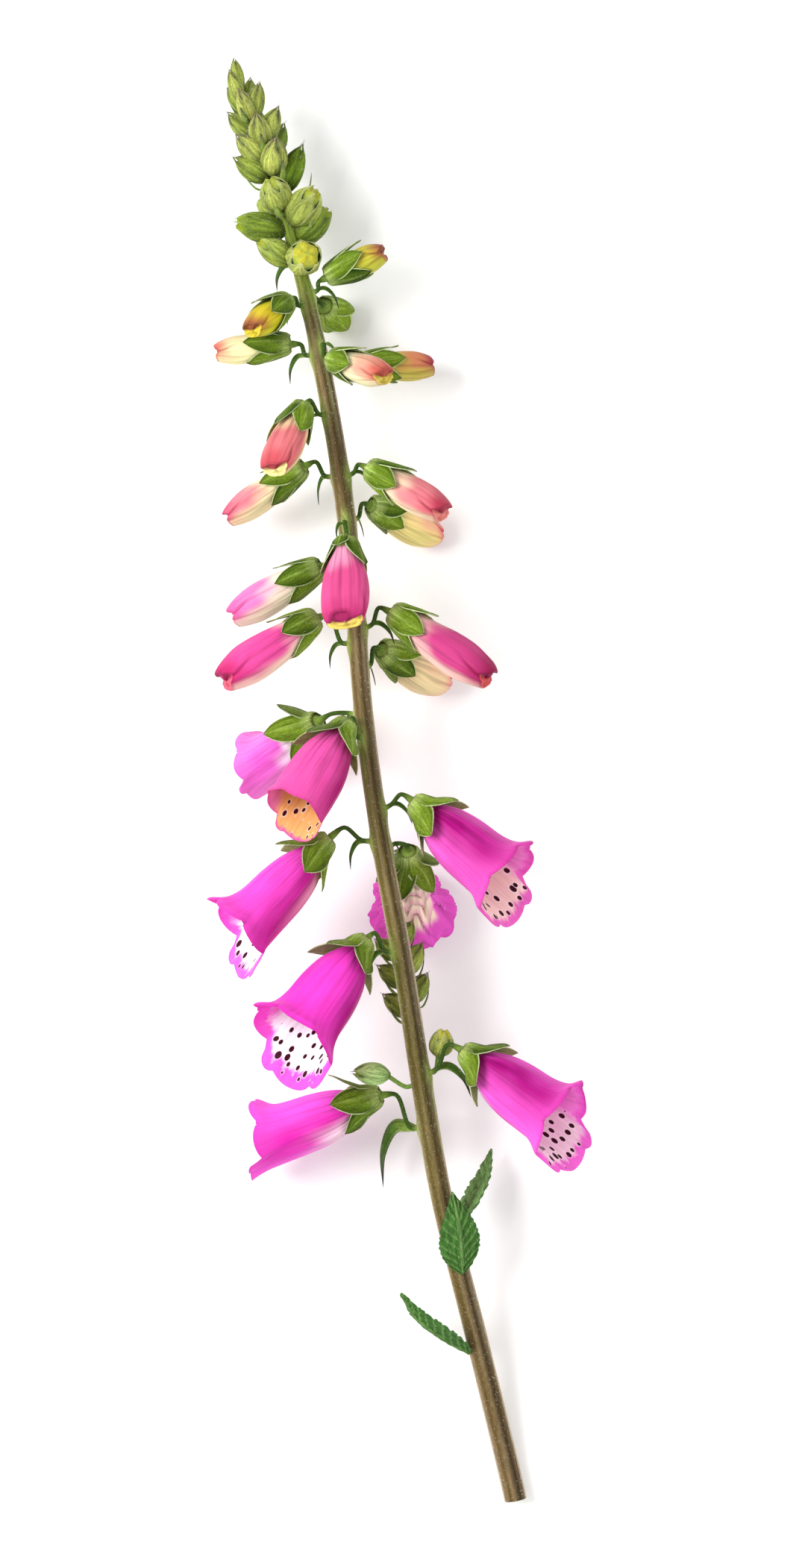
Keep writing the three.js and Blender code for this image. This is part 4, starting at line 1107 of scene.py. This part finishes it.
def build_calyx(flower, skin):
    """A green cup with five sepals. The sepals overlap in turn, and the upper one is the narrowest."""
    calyx = Tissue()
    rng = np.random.default_rng(SEED + int(flower["at"]))
    for k, (centre, narrow, layer, spread) in enumerate(SEPALS):
        reach = (flower["sepal"] * rng.uniform(0.94, 1.04)
            * (1 + 0.14 * float(smooth(flower["at"], 345, 356))))
        if k == 0 and flower["name"] == "bud_5":
            reach *= 0.5
        centre = centre + rng.uniform(-5, 5)
        layer += 0.12 * (k % 2)
        spread = flower["spread"] * (spread + rng.uniform(-0.25, 0.35))
        middle, share, side = sepal_middle(flower, skin, centre, flower["sepal_width"] * narrow, reach,
            layer, rng.uniform(0.4, 1.2), spread)
        paint = sepal_paint(share, side, rng.uniform(0.0, 1.15) + SEPAL_SHADES.get(flower["name"], 0))
        calyx.slab(placed(middle, flower), SEPAL_SHEET, paint, under=coated(paint, (SEPAL_PALE, 0.3)))
    turn = np.arange(30) * 12.0
    per_mm = foot_of(flower) / (CUP_FLOOR + GAP)
    rows = []
    for height, off in CUP_RINGS:
        t = np.full(turn.shape, height * per_mm)
        row = skin(t, turn) + skin_normal(skin, t, turn) * off
        row[:, 1] = height - 0.9 * (1 - height / CUP_RIM)
        rows.append(row)
    neck = rows[0] * (0.55, 0, 0.55) + (0, -CUP_FOOT * 0.8, 0)
    cup = np.array([pole(-CUP_FOOT, neck), neck, *rows, rows[-1] * (0.8, 1, 0.8), pole(CUP_FLOOR, neck)])
    calyx.grid(placed(cup, flower), linear("#8da64c"))
    add_bract(calyx, stem_surface(flower["at"], flower["turn"]), flower["turn"], flower["bract"])
    return calyx.mesh(flower["name"] + "_sepals")


def blade_middle(knots, across, half_width, fold, rows, columns, relief=None):
    """Middle points of a blade along a curve, folded up a little along its midrib."""
    centre = spline(knots, rows)
    tangent = unit(np.gradient(centre, axis=0))
    normal = unit(np.cross(tangent, across))
    side = unit(np.cross(normal, tangent))
    share, place = np.meshgrid(np.linspace(0, 1, rows), np.linspace(-1, 1, columns), indexing="ij")
    width = half_width(share)
    height = fold * np.abs(place) * width + (0 if relief is None else relief(share, place))
    middle = (centre[:, None] + side[:, None] * (place * width)[..., None]
        + normal[:, None] * height[..., None])
    return middle, share, place


def add_bract(tissue, root, turn, length):
    """A narrow bract that bends away from its flower, hangs at its tip and dries dark there."""
    out = outward(turn)
    away = outward(turn + BRACT_TURN * np.sign(turn))
    knots = [root - 0.6 * out, root + away * length * 0.3 + UP_STEM * length * 0.06,
        root + away * length * 0.52 - UP_STEM * length * 0.18,
        root + away * length * 0.6 - UP_STEM * length * 0.55]
    broadest = max(0.45, 0.08 * length - 0.35)
    across = unit(np.cross(UP_STEM, out) * np.sign(turn) + BRACT_TILT * (UP_STEM + out))
    middle, share, side = blade_middle(knots, across,
        lambda f: 0.3 * (1 - f) + broadest * np.sin(math.pi * f ** 0.7), 0.35, 26, 7)
    tissue.slab(middle, BRACT_SHEET, coated(linear("#8ca647"), ("#476624", smooth(share, 0, 0.45)),
        (SEPAL_PALE, 0.5 * smooth(np.abs(side), 0.75, 1) * (1 - share)),
        (BRACT_TIP, 0.85 * smooth(share, 0.5, 0.95))))


def stalk_path(flower):
    """The middle line of a flower stalk from the stem to its cup."""
    base = cup_base(flower)
    along = leaving(flower["face"], -flower["nod"])
    root = stem_surface(flower["at"], flower["turn"])
    out = outward(flower["turn"])
    bend = flower["reach"] * 0.34
    knots = [root - 0.8 * out, root + out * bend * 0.5 + UP_STEM * bend * 0.22,
        (base - along * bend) * 0.88 + root * 0.12, base - along * 0.4]
    return spline(knots, STALK_ROWS)


def build_stalks():
    """All flower stalks in one piece: thicker where they leave the stem and where they meet the cup."""
    paths = []
    share = np.linspace(0, 1, STALK_ROWS)
    thick = STALK_RADIUS * (1 + 0.7 * np.exp(-share * 9) + 0.75 * smooth(share, 0.72, 1))
    shade = coated(linear("#93ab4c"), ("#3f5a20", smooth(share, 0, 0.3)),
        ("#7c9a3c", smooth(share, 0.75, 1)))
    for flower in FLOWERS:
        paths.append((stalk_path(flower), thick, shade))
    for _, height, turn, reach, lift, face, rise, _, _ in SIDE_BUDS:
        root = stem_surface(height, turn)
        end = cup_base(dict(at=height, turn=turn, reach=reach, lift=lift)) + leaving(face, rise) * 1.5
        line = spline([root - 0.6 * outward(turn), root + 1.5 * outward(turn), end], 14)
        paths.append((line, STALK_RADIUS, linear("#7d9f48")))
    return tubes("flower_stalks", paths, sepal_material())


def tubes(name, paths, material, sides=12):
    """Round tubes along paths, each given as points, thickness and colour, in millimetres."""
    points, edges, thick, colours = [], [], [], []
    for line, thickness, colour in paths:
        edges += [(len(points) + i, len(points) + i + 1) for i in range(len(line) - 1)]
        points += ((line + OFFSET) * MM).tolist()
        thick += (np.broadcast_to(thickness, len(line)) * MM).tolist()
        colours += np.broadcast_to(colour, line.shape).tolist()
    mesh = bpy.data.meshes.new(name)
    mesh.from_pydata(points, edges, [])
    mesh.attributes.new("thick", "FLOAT", "POINT").data.foreach_set("value", thick)
    paint = np.hstack([colours, np.ones((len(colours), 1))])
    mesh.attributes.new("paint", "FLOAT_COLOR", "POINT").data.foreach_set("color", paint.ravel())
    return grown(name, mesh, shared("stalks", stalk_tree), {"Sides": sides, "Material": material})


# The head and the late buds

def green_bud(name, sepal_reach, green=BUD_GREEN, shade="#4c5e12", tip=BUD_TIP):
    """A closed bud of length 1 along +Y and half thickness 1: five pointed sepals over a rounded heart.

    The heart shows at the end where the sepals reach less far.
    """
    bud = Tissue()
    length, half = 1 / MM, 1 / MM
    for k in range(5):
        share, side = np.meshgrid(np.linspace(0, 1, 12), np.sin(np.linspace(-1, 1, 11) * math.pi / 2),
            indexing="ij")
        narrow = 1 - 0.9 * smooth(share, 0.45, 1.02)
        angle = np.radians(k * 144 + side * 54 * narrow)
        bulge = 1 + 0.06 * (k % 3) + 0.05 * hump(side, 0.2) - 0.07 * side ** 2
        reach = share * sepal_reach * (1 + 0.07 * (k % 2))
        flared = 0.1 * smooth(share, 0.9, 1) + 0.3 * (1 - sepal_reach) * share ** 3
        radius = (through(GREEN_BUD_OUTLINE, np.minimum(reach, 1)) * bulge + flared) * half * 0.93
        middle = np.stack([radius * np.sin(angle), length * reach, radius * np.cos(angle)], axis=-1)
        # Painted shade: the lower layers of sepals are darker, each sepal darkens towards its overlapped
        # sides, and the foot of the bud is darker.
        paint = coated(linear(green), (shade, 0.15 * (2 - k % 3) + 0.6 * smooth(np.abs(side), 0.3, 0.9)))
        paint = mixed(paint, linear(shade) * 0.6, 0.8 * (1 - smooth(share, 0, 0.4)))
        dry = 0.3 * smooth(share, 0.4, 0.9) * np.abs(side) + 0.6 * smooth(share, 0.74, 1)
        margin = 0.7 * smooth(np.abs(side), 0.92, 0.98) * (1 - 0.5 * share)
        paint = coated(paint, (tip, dry), ("#cfd99a", margin))
        bud.slab(middle, 0.07 * half, paint, grain=(4.3 * MM, 14 * MM))
    turn = np.arange(20) * 18.0
    lobed = cosine(turn * 5)
    full = half * (0.66 + 0.34 * float(smooth(1.1 - sepal_reach, 0, 0.28)))
    heart = np.array([outward(turn) * full * r * (1 + 0.08 * lobed)[:, None]
        + np.array((0, length, 0)) * (y + 0.03 * lobed * math.sin(4 * r))[:, None] for y, r, _ in HEART])
    marks = np.array([[ripe] for _, _, ripe in HEART]) * (0.78 + 0.22 * lobed)
    bud.grid(heart, linear("#8ea644"), marks=marks)
    mesh = bud.mesh(name)
    points = np.array([vertex.co for vertex in mesh.vertices]) - OFFSET * MM
    mesh.vertices.foreach_set("co", points.ravel())
    return bpy.data.objects.new(name, mesh)


def set_buds(name, buds, tree, bud, material):
    """Green buds set on their points, as (base, face turn, rise, length, half thickness, ripe, tone)."""
    points = bpy.data.meshes.new(name)
    points.from_pydata([tuple((base + OFFSET) * MM) for base, *_ in buds], [], [])
    axes = np.array([flower_axes(turn, rise, 67 * i) for i, (_, turn, rise, *_) in enumerate(buds)])
    size = np.array([(half, length, half) for *_, length, half, _, _ in buds]) * MM
    for label, values in (("along", axes[:, 1]), ("upper", axes[:, 2]), ("size", size)):
        points.attributes.new(label, "FLOAT_VECTOR", "POINT").data.foreach_set("vector", values.ravel())
    for label, column in (("ripe", -2), ("tone", -1)):
        points.attributes.new(label, "FLOAT", "POINT").data.foreach_set("value",
            [row[column] for row in buds])
    return grown(name, points, tree, {"Bud": bud, "Material": material})


def head_buds():
    """The buds of the head: the first is the ripest, with an open yellow end, and the upper ones are slim."""
    rows = []
    for i, (height, turn, length, half, rise, tone) in enumerate(HEAD_BUDS):
        young = float(smooth(height, 455, 488))
        height = height - 4 * young
        base = stem_point(height) + outward(turn) * through(STEM_RADIUS, height) * 0.5
        ripe = 0.8 * float(1 - smooth(height, 446, 456)) if i else 1.0
        half *= 1.0 - 0.12 * young if i else 1.08
        rows.append((base, turn, rise, length * 1.04 + 3.0 * young, half, ripe, tone))
    return rows


def build_head_axis(looks):
    """The green axis inside the head, with its bracts."""
    axis = Tissue()
    points, paint = stem_surface_grid(np.linspace(HEAD_START, TIP, HEAD_ROWS), looks, HEAD_COLUMNS)
    start = np.broadcast_to(stem_point(HEAD_START), points[0].shape)
    end = np.broadcast_to(stem_point(TIP) + 1.5 * UP_STEM, points[0].shape)
    axis.grid(np.concatenate([[start], points, [end]]), np.concatenate([paint[:1], paint, paint[-1:]]))
    for height, turn, length in HEAD_BRACTS:
        add_bract(axis, stem_point(height) + outward(turn), turn, length)
    for height, turn, length, *_ in HEAD_BUDS[4:-2]:
        root = stem_point(height - 2.5) + outward(turn) * through(STEM_RADIUS, height) * 0.8
        add_bract_scale(axis, root, turn, length * 0.62)
    return axis.mesh("head_axis")


def add_bract_scale(tissue, root, turn, length):
    """A short pointed bract that hugs a bud of the head from below."""
    out = outward(turn)
    knots = [root, root + out * length * 0.55 - UP_STEM * length * 0.06,
        root + out * length * 0.85 + UP_STEM * length * 0.3, root + out * length + UP_STEM * length * 0.75]
    middle, share, _ = blade_middle(knots, np.cross(UP_STEM, out),
        lambda f: 0.15 + 0.13 * length * np.sin(math.pi * f ** 0.8), 0.3, 10, 5)
    tissue.slab(middle, SCALE_SHEET, coated(linear("#7c9440"), (BRACT_TIP, 0.75 * smooth(share, 0.5, 1))))


def shoot_points():
    foot = (stem_point(SHOOT["at"]) + outward(SHOOT["turn"]) * SHOOT["reach"] + UP_STEM * 3)
    return foot, foot + UP_STEM * SHOOT["length"]


def build_shoot_bracts():
    """A pointed bract below every bud of the side shoot."""
    bracts = Tissue()
    foot, _ = shoot_points()
    for height, turn, length, _ in SHOOT_BUDS:
        add_bract_scale(bracts, foot + UP_STEM * (height - 1.5), turn + 20, length * 0.66)
    return bracts.mesh("side_shoot_bracts")


def build_shoot_stalk():
    foot, tip = shoot_points()
    root = stem_surface(SHOOT["at"], SHOOT["turn"]) - 0.6 * outward(SHOOT["turn"])
    line = spline([root, foot, 0.5 * (foot + tip), tip], 30)
    return tubes("side_shoot_stalk", [(line, np.linspace(1.1, 0.7, 30), linear("#7f9f4b"))],
        sepal_material())


# Leaves

def build_leaf(leaf):
    """A leaf with a toothed edge, its surface puckered between the veins."""
    name, height, turn, length, half_width, rise, droop = leaf
    out = outward(turn)
    root = stem_surface(height, turn) - 0.4 * out
    run = leaving(turn, rise)
    knots = [root + run * f * length + out * droop * math.sin(math.pi * f) for f in (0, 0.3, 0.65, 1)]
    across = unit(np.cross(run, out))

    def width(f):
        tooth = 1 + 0.07 * np.abs(np.sin(f * 15 * math.pi)) - 0.03
        return 0.5 * (1 - f) + half_width * np.sin(math.pi * f ** 0.75) * tooth

    def veins(f, side):
        """1 on the midrib and on the side veins, which run forwards from it."""
        midrib = hump(side, 0.07)
        run_on = (f * length - np.abs(side) * half_width * 0.9) / 3.4
        near = np.abs(run_on - np.round(run_on))
        return np.maximum(midrib, 0.8 * hump(near, 0.13))

    def relief(f, side):
        return -0.85 * veins(f, side) + 0.3 * ripple(f * length / 1.3, side * half_width / 1.2, 5)

    middle, share, side = blade_middle(knots, across, width, 0.25, 110, 41, relief)
    paint = coated(linear(LEAF_GREEN), (LEAF_PALE, 0.35 * veins(share, side)),
        ("#3b6a3a", 0.3 * smooth(np.abs(side), 0.6, 1)))
    made = Tissue()
    made.slab(middle, LEAF_SHEET, paint, under=coated(paint, (LEAF_PALE, 0.45)))
    return made.mesh(name + "_blade")


# Stamens and styles

def build_stamens(material):
    """Inside each open bell: four bent filaments under the upper side, and a style between them."""
    paths = []
    for flower in BELL_FLOWERS:
        length = flower["length"]
        for turn, reach in (*FILAMENTS, STYLE):
            rise = 0.12 * length if turn else 0.14 * length
            side = math.sin(math.radians(turn)) * length
            knots = [(side * 0.08, 0.14 * length, 0), (side * 0.2, 0.34 * length, rise * 0.7),
                (side * 0.22, 0.54 * length, rise * 1.15), (side * 0.12, reach * length, rise * 1.2)]
            paths.append((placed(spline(knots, 16), flower), np.linspace(0.42, 0.3, 16),
                linear("#f3d7e6" if turn else "#e9a9d0")))
    return tubes("filaments_and_styles", paths, material, 8)


def build_anthers():
    """A pair of pale yellow pollen sacs at the end of each filament."""
    anthers = Tissue()
    turn = np.arange(10) * 36.0
    for flower in BELL_FLOWERS:
        length = flower["length"]
        for spread, reach in FILAMENTS:
            side = math.sin(math.radians(spread)) * length * 0.12
            for lean in (-1, 1):
                points = np.array([outward(turn) * (0.85 * math.sin(math.pi * part))
                    + (side + lean * (0.4 + 1.1 * part), reach * length + 0.6 * part,
                    0.144 * length) for part in np.linspace(0, 1, 8)])
                anthers.grid(placed(points, flower), linear("#efe0b0"))
    return anthers.mesh("anthers")


# Settings

class FoxgloveLooks(bpy.types.PropertyGroup):
    """Sizes and colours of the spike that a user would change"""
    petal_wall: FloatProperty(name="Petal thickness", description="Wall of an open bell", default=0.00045,
        min=0.0001, max=0.0015, subtype="DISTANCE", unit="LENGTH", precision=5)
    rib_depth: FloatProperty(name="Rib depth", description="How far the stem's ribs stand out",
        default=0.00028, min=0.0, max=0.001, subtype="DISTANCE", unit="LENGTH", precision=5)
    spot_spacing: FloatProperty(name="Spot spacing", description="Distance between the spots inside a bell",
        default=0.0030, min=0.001, max=0.01, subtype="DISTANCE", unit="LENGTH", precision=4)
    down_length: FloatProperty(name="Down length", description="Length of the fine hairs", default=0.0011,
        min=0.0002, max=0.004, subtype="DISTANCE", unit="LENGTH", precision=5)
    down_density: IntProperty(name="Down density", description="Hairs on a square metre of stem",
        default=700000, min=0, max=2000000)
    down_colour: FloatVectorProperty(name="Down colour", description="Colour of the fine hairs", size=3,
        default=tuple(linear("#e6e6cf")), min=0, max=1, subtype="COLOR")
    floor_colour: FloatVectorProperty(name="Floor colour", description="Colour of the surface below",
        size=3, default=tuple(linear("#fcfcfb")), min=0, max=1, subtype="COLOR")
    lean: FloatProperty(name="Lean", description="How far the stem leans to the left in the picture",
        default=math.radians(11.4), min=-math.pi, max=math.pi, subtype="ANGLE", unit="ROTATION")
    margin: FloatProperty(name="Margin", description="Free space round the spike in the picture",
        default=0.07, min=0.0, max=0.5, subtype="FACTOR")


MADE = {}


def shared(name, make):
    """A tree or material that several pieces use, made once."""
    if name not in MADE:
        MADE[name] = make()
    return MADE[name]


def sepal_material():
    return shared("sepal", lambda: green_downy("sepal_tissue_downy", 0.9, 0.16, 0.22))


def bud_material():
    """Green buds, whose heart turns yellow as they ripen."""
    def make():
        material = green_downy("green_bud_tissue_downy", 0.8, 0.16, 0.2)
        tree = material.node_tree
        shader = next(node for node in tree.nodes if node.type == "BSDF_PRINCIPLED")
        mottled = shader.inputs["Base Color"].links[0].from_node
        paint = mottled.inputs[6].links[0].from_socket
        ripe = add(tree, "ShaderNodeAttribute", attribute_name="ripe")
        marks = add(tree, "ShaderNodeAttribute", attribute_name="marks")
        part = add(tree, "ShaderNodeMath", {0: ripe.outputs["Fac"], 1: marks.outputs["Fac"]},
            operation="MULTIPLY")
        yellow = add(tree, "ShaderNodeMix", {"Factor": part, 6: paint, 7: (*linear("#c0b62c"), 1)},
            data_type="RGBA")
        tree.links.new(yellow.outputs[2], mottled.inputs[6])
        # tone is partly painted light and shade: it scales each bud from a dark deep green to a light pale
        # sage.
        tone = add(tree, "ShaderNodeAttribute", attribute_name="tone")
        light = add(tree, "ShaderNodeMix", {"Factor": tone.outputs["Fac"], 6: (0.42, 0.62, 0.25, 1),
            7: (1.2, 1.18, 1.62, 1)}, data_type="RGBA")
        lit = add(tree, "ShaderNodeMix", {"Factor": 1.0, 6: mottled.outputs[2], 7: light.outputs[2]},
            data_type="RGBA", blend_type="MULTIPLY")
        tree.links.new(lit.outputs[2], shader.inputs["Base Color"])
        return material
    return shared("bud", make)


# Operators

class FOXGLOVE_OT_stem(bpy.types.Operator):
    """Grow the ribbed stem"""
    bl_idname = "foxglove.stem"
    bl_label = "Stem"

    def execute(self, context):
        looks = context.scene.foxglove
        piece("stem_tissue", build_stem(looks), shared("stem", stem_fibre), "stem", "stem")
        return {"FINISHED"}


class FOXGLOVE_OT_bells(bpy.types.Operator):
    """Grow the open bells"""
    bl_idname = "foxglove.bells"
    bl_label = "Bells"

    def execute(self, context):
        looks = context.scene.foxglove
        petal = shared("petal", lambda: petal_satin(looks))
        for flower in BELL_FLOWERS:
            piece(flower["name"] + "_petal", build_bell(flower, looks), petal, "petal",
                flower["name"] + "_corolla")
        return {"FINISHED"}


class FOXGLOVE_OT_buds(bpy.types.Operator):
    """Grow the buds that show colour"""
    bl_idname = "foxglove.buds"
    bl_label = "Coloured buds"

    def execute(self, context):
        looks = context.scene.foxglove
        petal = shared("petal", lambda: petal_satin(looks))
        for flower in BUD_FLOWERS:
            piece(flower["name"] + "_petal", build_bud(flower), petal, "petal", flower["name"] + "_corolla")
        return {"FINISHED"}


class FOXGLOVE_OT_sepals(bpy.types.Operator):
    """Grow the cup, sepals and bract of every flower, and the stalks"""
    bl_idname = "foxglove.sepals"
    bl_label = "Sepals, bracts and stalks"

    def execute(self, context):
        for flower in FLOWERS:
            skin = bell_skin(flower) if "open" in flower else bud_skin(flower)
            piece(flower["name"] + "_sepals", build_calyx(flower, skin), sepal_material(), "sepal",
                flower["name"] + "_calyx")
        piece("flower_stalks", build_stalks(), sepal_material(), "sepal")
        return {"FINISHED"}


class FOXGLOVE_OT_head(bpy.types.Operator):
    """Grow the green head and the late buds low on the stem"""
    bl_idname = "foxglove.head"
    bl_label = "Head and late buds"

    def execute(self, context):
        looks = context.scene.foxglove
        closed, loose, parted = (green_bud(f"bud_pattern_{reach}", reach / 100, tip=tip)
            for reach, tip in ((106, BUD_TIP), (92, "#dcdc86"), (80, "#dcdc86")))
        late = green_bud("late_bud_pattern", 1.0, "#b4d676", "#7ba048", "#6f8f3c")
        tree = shared("buds", bud_tree)
        sets = {"head_buds": (head_buds()[8:], "head", closed),
            "head_buds_loose": (head_buds()[1:8], None, loose),
            "head_bud_parted": (head_buds()[:1], None, parted)}
        foot, _ = shoot_points()
        shoot = [(foot + UP_STEM * height, turn, SHOOT["rise"], length, half * 1.3, 0.0,
            0.3 + 0.1 * (length % 5)) for height, turn, length, half in SHOOT_BUDS]
        sets["side_shoot_buds"] = (shoot, "side_shoot", closed)
        for name, height, turn, reach, lift, face, rise, length, half in SIDE_BUDS:
            base = cup_base(dict(at=height, turn=turn, reach=reach, lift=lift))
            ripe, bud = (1.0, loose) if "right" in name else (0.0, late)
            sets[name + "_green"] = ([(base, face, rise, length, half, ripe, 0.9)], name, bud)
        for name, (rows, node, bud) in sets.items():
            mesh = set_buds(name, rows, tree, bud, bud_material())
            piece(name, mesh, bud_material(), "bud", *([node] if node else []))
        piece("head_axis", build_head_axis(looks), shared("stem", stem_fibre), "bud")
        piece("side_shoot_stalk", build_shoot_stalk(), sepal_material(), "bud")
        piece("side_shoot_bracts", build_shoot_bracts(), sepal_material(), "bud")
        for bud in (closed, loose, parted, late):
            bpy.data.objects.remove(bud)
        return {"FINISHED"}


class FOXGLOVE_OT_leaves(bpy.types.Operator):
    """Grow the leaves of the lower stem"""
    bl_idname = "foxglove.leaves"
    bl_label = "Leaves"

    def execute(self, context):
        leaf = shared("leaf", lambda: green_downy("leaf_tissue_puckered", 0.7, 0.3, 0.2, Roughness=0.5))
        for row in STEM_LEAVES:
            piece(row[0] + "_blade", build_leaf(row), leaf, "leaf", row[0])
        return {"FINISHED"}


class FOXGLOVE_OT_stamens(bpy.types.Operator):
    """Grow the stamens and styles inside the bells"""
    bl_idname = "foxglove.stamens"
    bl_label = "Stamens and styles"

    def execute(self, context):
        inner = shared("inner", lambda: green_downy("stamen_tissue_smooth", 0.5, 0.05, 0.08,
            Sheen_Weight=0.0))
        piece("filaments_and_styles", build_stamens(inner), inner, "petal")
        piece("anthers", build_anthers(), inner, "petal")
        return {"FINISHED"}


class FOXGLOVE_OT_down(bpy.types.Operator):
    """Grow the fine pale hairs of the stem and the green parts"""
    bl_idname = "foxglove.down"
    bl_label = "Down"

    def execute(self, context):
        looks = context.scene.foxglove
        hair = shared("hair", lambda: plain_tissue("down_hair_translucent", looks.down_colour,
            Roughness=0.5, Subsurface_Weight=0.0))
        tree = shared("down", down_tree)
        carriers = DOWN | {flower["name"] + "_sepals": SEPAL_DOWN for flower in FLOWERS}
        for index, (name, (density, length, slot)) in enumerate(carriers.items()):
            values = {"Density": density * looks.down_density, "Length": length * looks.down_length,
                "Thickness": HAIR_THICKNESS, "Lean": HAIR_LEAN, "Seed": SEED + index, "Material": hair}
            mesh = grown(name + "_down", bpy.data.objects[name].data, tree, values, smooth_faces=False)
            piece(name + "_down", mesh, hair, slot)
        return {"FINISHED"}


class FOXGLOVE_OT_stage(bpy.types.Operator):
    """Lay the pale floor, set the soft light and aim the camera down on the spike"""
    bl_idname = "foxglove.stage"
    bl_label = "Floor, light and camera"

    def execute(self, context):
        looks = context.scene.foxglove
        scene = context.scene
        scene.view_settings.view_transform = "Standard"
        mesh = bpy.data.meshes.new("floor")
        corners = [(FLOOR_HALF * x, FLOOR_HALF * y, 0) for x, y in ((-1, -1), (1, -1), (1, 1), (-1, 1))]
        mesh.from_pydata(corners, [], [(0, 1, 2, 3)])
        floor = bpy.data.objects.new("floor", mesh)
        scene.collection.objects.link(floor)
        mesh.materials.append(plain_tissue("floor_card_matte", looks.floor_colour, Roughness=0.9))
        world = bpy.data.worlds.new("studio_air")
        world.use_nodes = True
        air = world.node_tree.nodes["Background"]
        air.inputs["Color"].default_value = (1, 1, 1, 1)
        air.inputs["Strength"].default_value = AIR_STRENGTH
        scene.world = world
        for name, place, size, power in LIGHTS:
            light = bpy.data.lights.new(name, "AREA")
            light.size = size
            light.energy = power
            lamp = bpy.data.objects.new(name, light)
            lamp.location = place
            lamp.rotation_euler = (-Vector(place)).to_track_quat("-Z", "Y").to_euler()
            scene.collection.objects.link(lamp)
        aim_camera(scene, looks)
        return {"FINISHED"}


def aim_camera(scene, looks):
    """A camera straight above, turned so that the stem leans left, with the spike filling the picture."""
    right = np.array((math.cos(looks.lean), -math.sin(looks.lean)))
    up = np.array((math.sin(looks.lean), math.cos(looks.lean)))
    corners = np.concatenate([[(v.co.x, v.co.y) for v in node.data.vertices]
        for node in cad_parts.values()])
    across, along = corners @ right, corners @ up
    centre = right * (across.min() + across.max()) / 2 + up * (along.min() + along.max()) / 2
    tall = max(np.ptp(along), np.ptp(across) / PICTURE_ASPECT) * (1 + looks.margin)
    middle_height = (CAD_BOX[0][2] + CAD_BOX[1][2]) / 2
    camera = bpy.data.cameras.new("view_from_above")
    camera.sensor_fit = "VERTICAL"
    camera.sensor_height = SENSOR_HEIGHT
    camera.lens = SENSOR_HEIGHT / 2 / (tall / 2 / CAMERA_DISTANCE)
    holder = bpy.data.objects.new("view_from_above", camera)
    holder.location = (centre[0], centre[1], middle_height + CAMERA_DISTANCE)
    holder.rotation_euler = (0, 0, -looks.lean)
    scene.collection.objects.link(holder)
    scene.camera = holder


class FOXGLOVE_PT_spike(bpy.types.Panel):
    """Lists the pieces of the spike and its sizes"""
    bl_idname = "FOXGLOVE_PT_spike"
    bl_label = "Foxglove spike"
    bl_space_type = "VIEW_3D"
    bl_region_type = "UI"
    bl_category = "Foxglove"

    def draw(self, context):
        looks = context.scene.foxglove
        for name in FoxgloveLooks.__annotations__:
            self.layout.prop(looks, name)
        for operator in OPERATORS:
            self.layout.operator(operator.bl_idname)


OPERATORS = (FOXGLOVE_OT_stage, FOXGLOVE_OT_stem, FOXGLOVE_OT_bells, FOXGLOVE_OT_buds, FOXGLOVE_OT_sepals,
    FOXGLOVE_OT_head, FOXGLOVE_OT_leaves, FOXGLOVE_OT_stamens, FOXGLOVE_OT_down)
CLASSES = (FoxgloveLooks, *OPERATORS, FOXGLOVE_PT_spike)


def register():
    for cls in CLASSES:
        bpy.utils.register_class(cls)
    bpy.types.Scene.foxglove = PointerProperty(type=FoxgloveLooks)


def unregister():
    del bpy.types.Scene.foxglove
    for cls in reversed(CLASSES):
        bpy.utils.unregister_class(cls)


def main():
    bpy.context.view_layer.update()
    register()
    for operator in OPERATORS:
        group, action = operator.bl_idname.split(".")
        getattr(getattr(bpy.ops, group), action)()


if __name__ == "__main__":
    main()
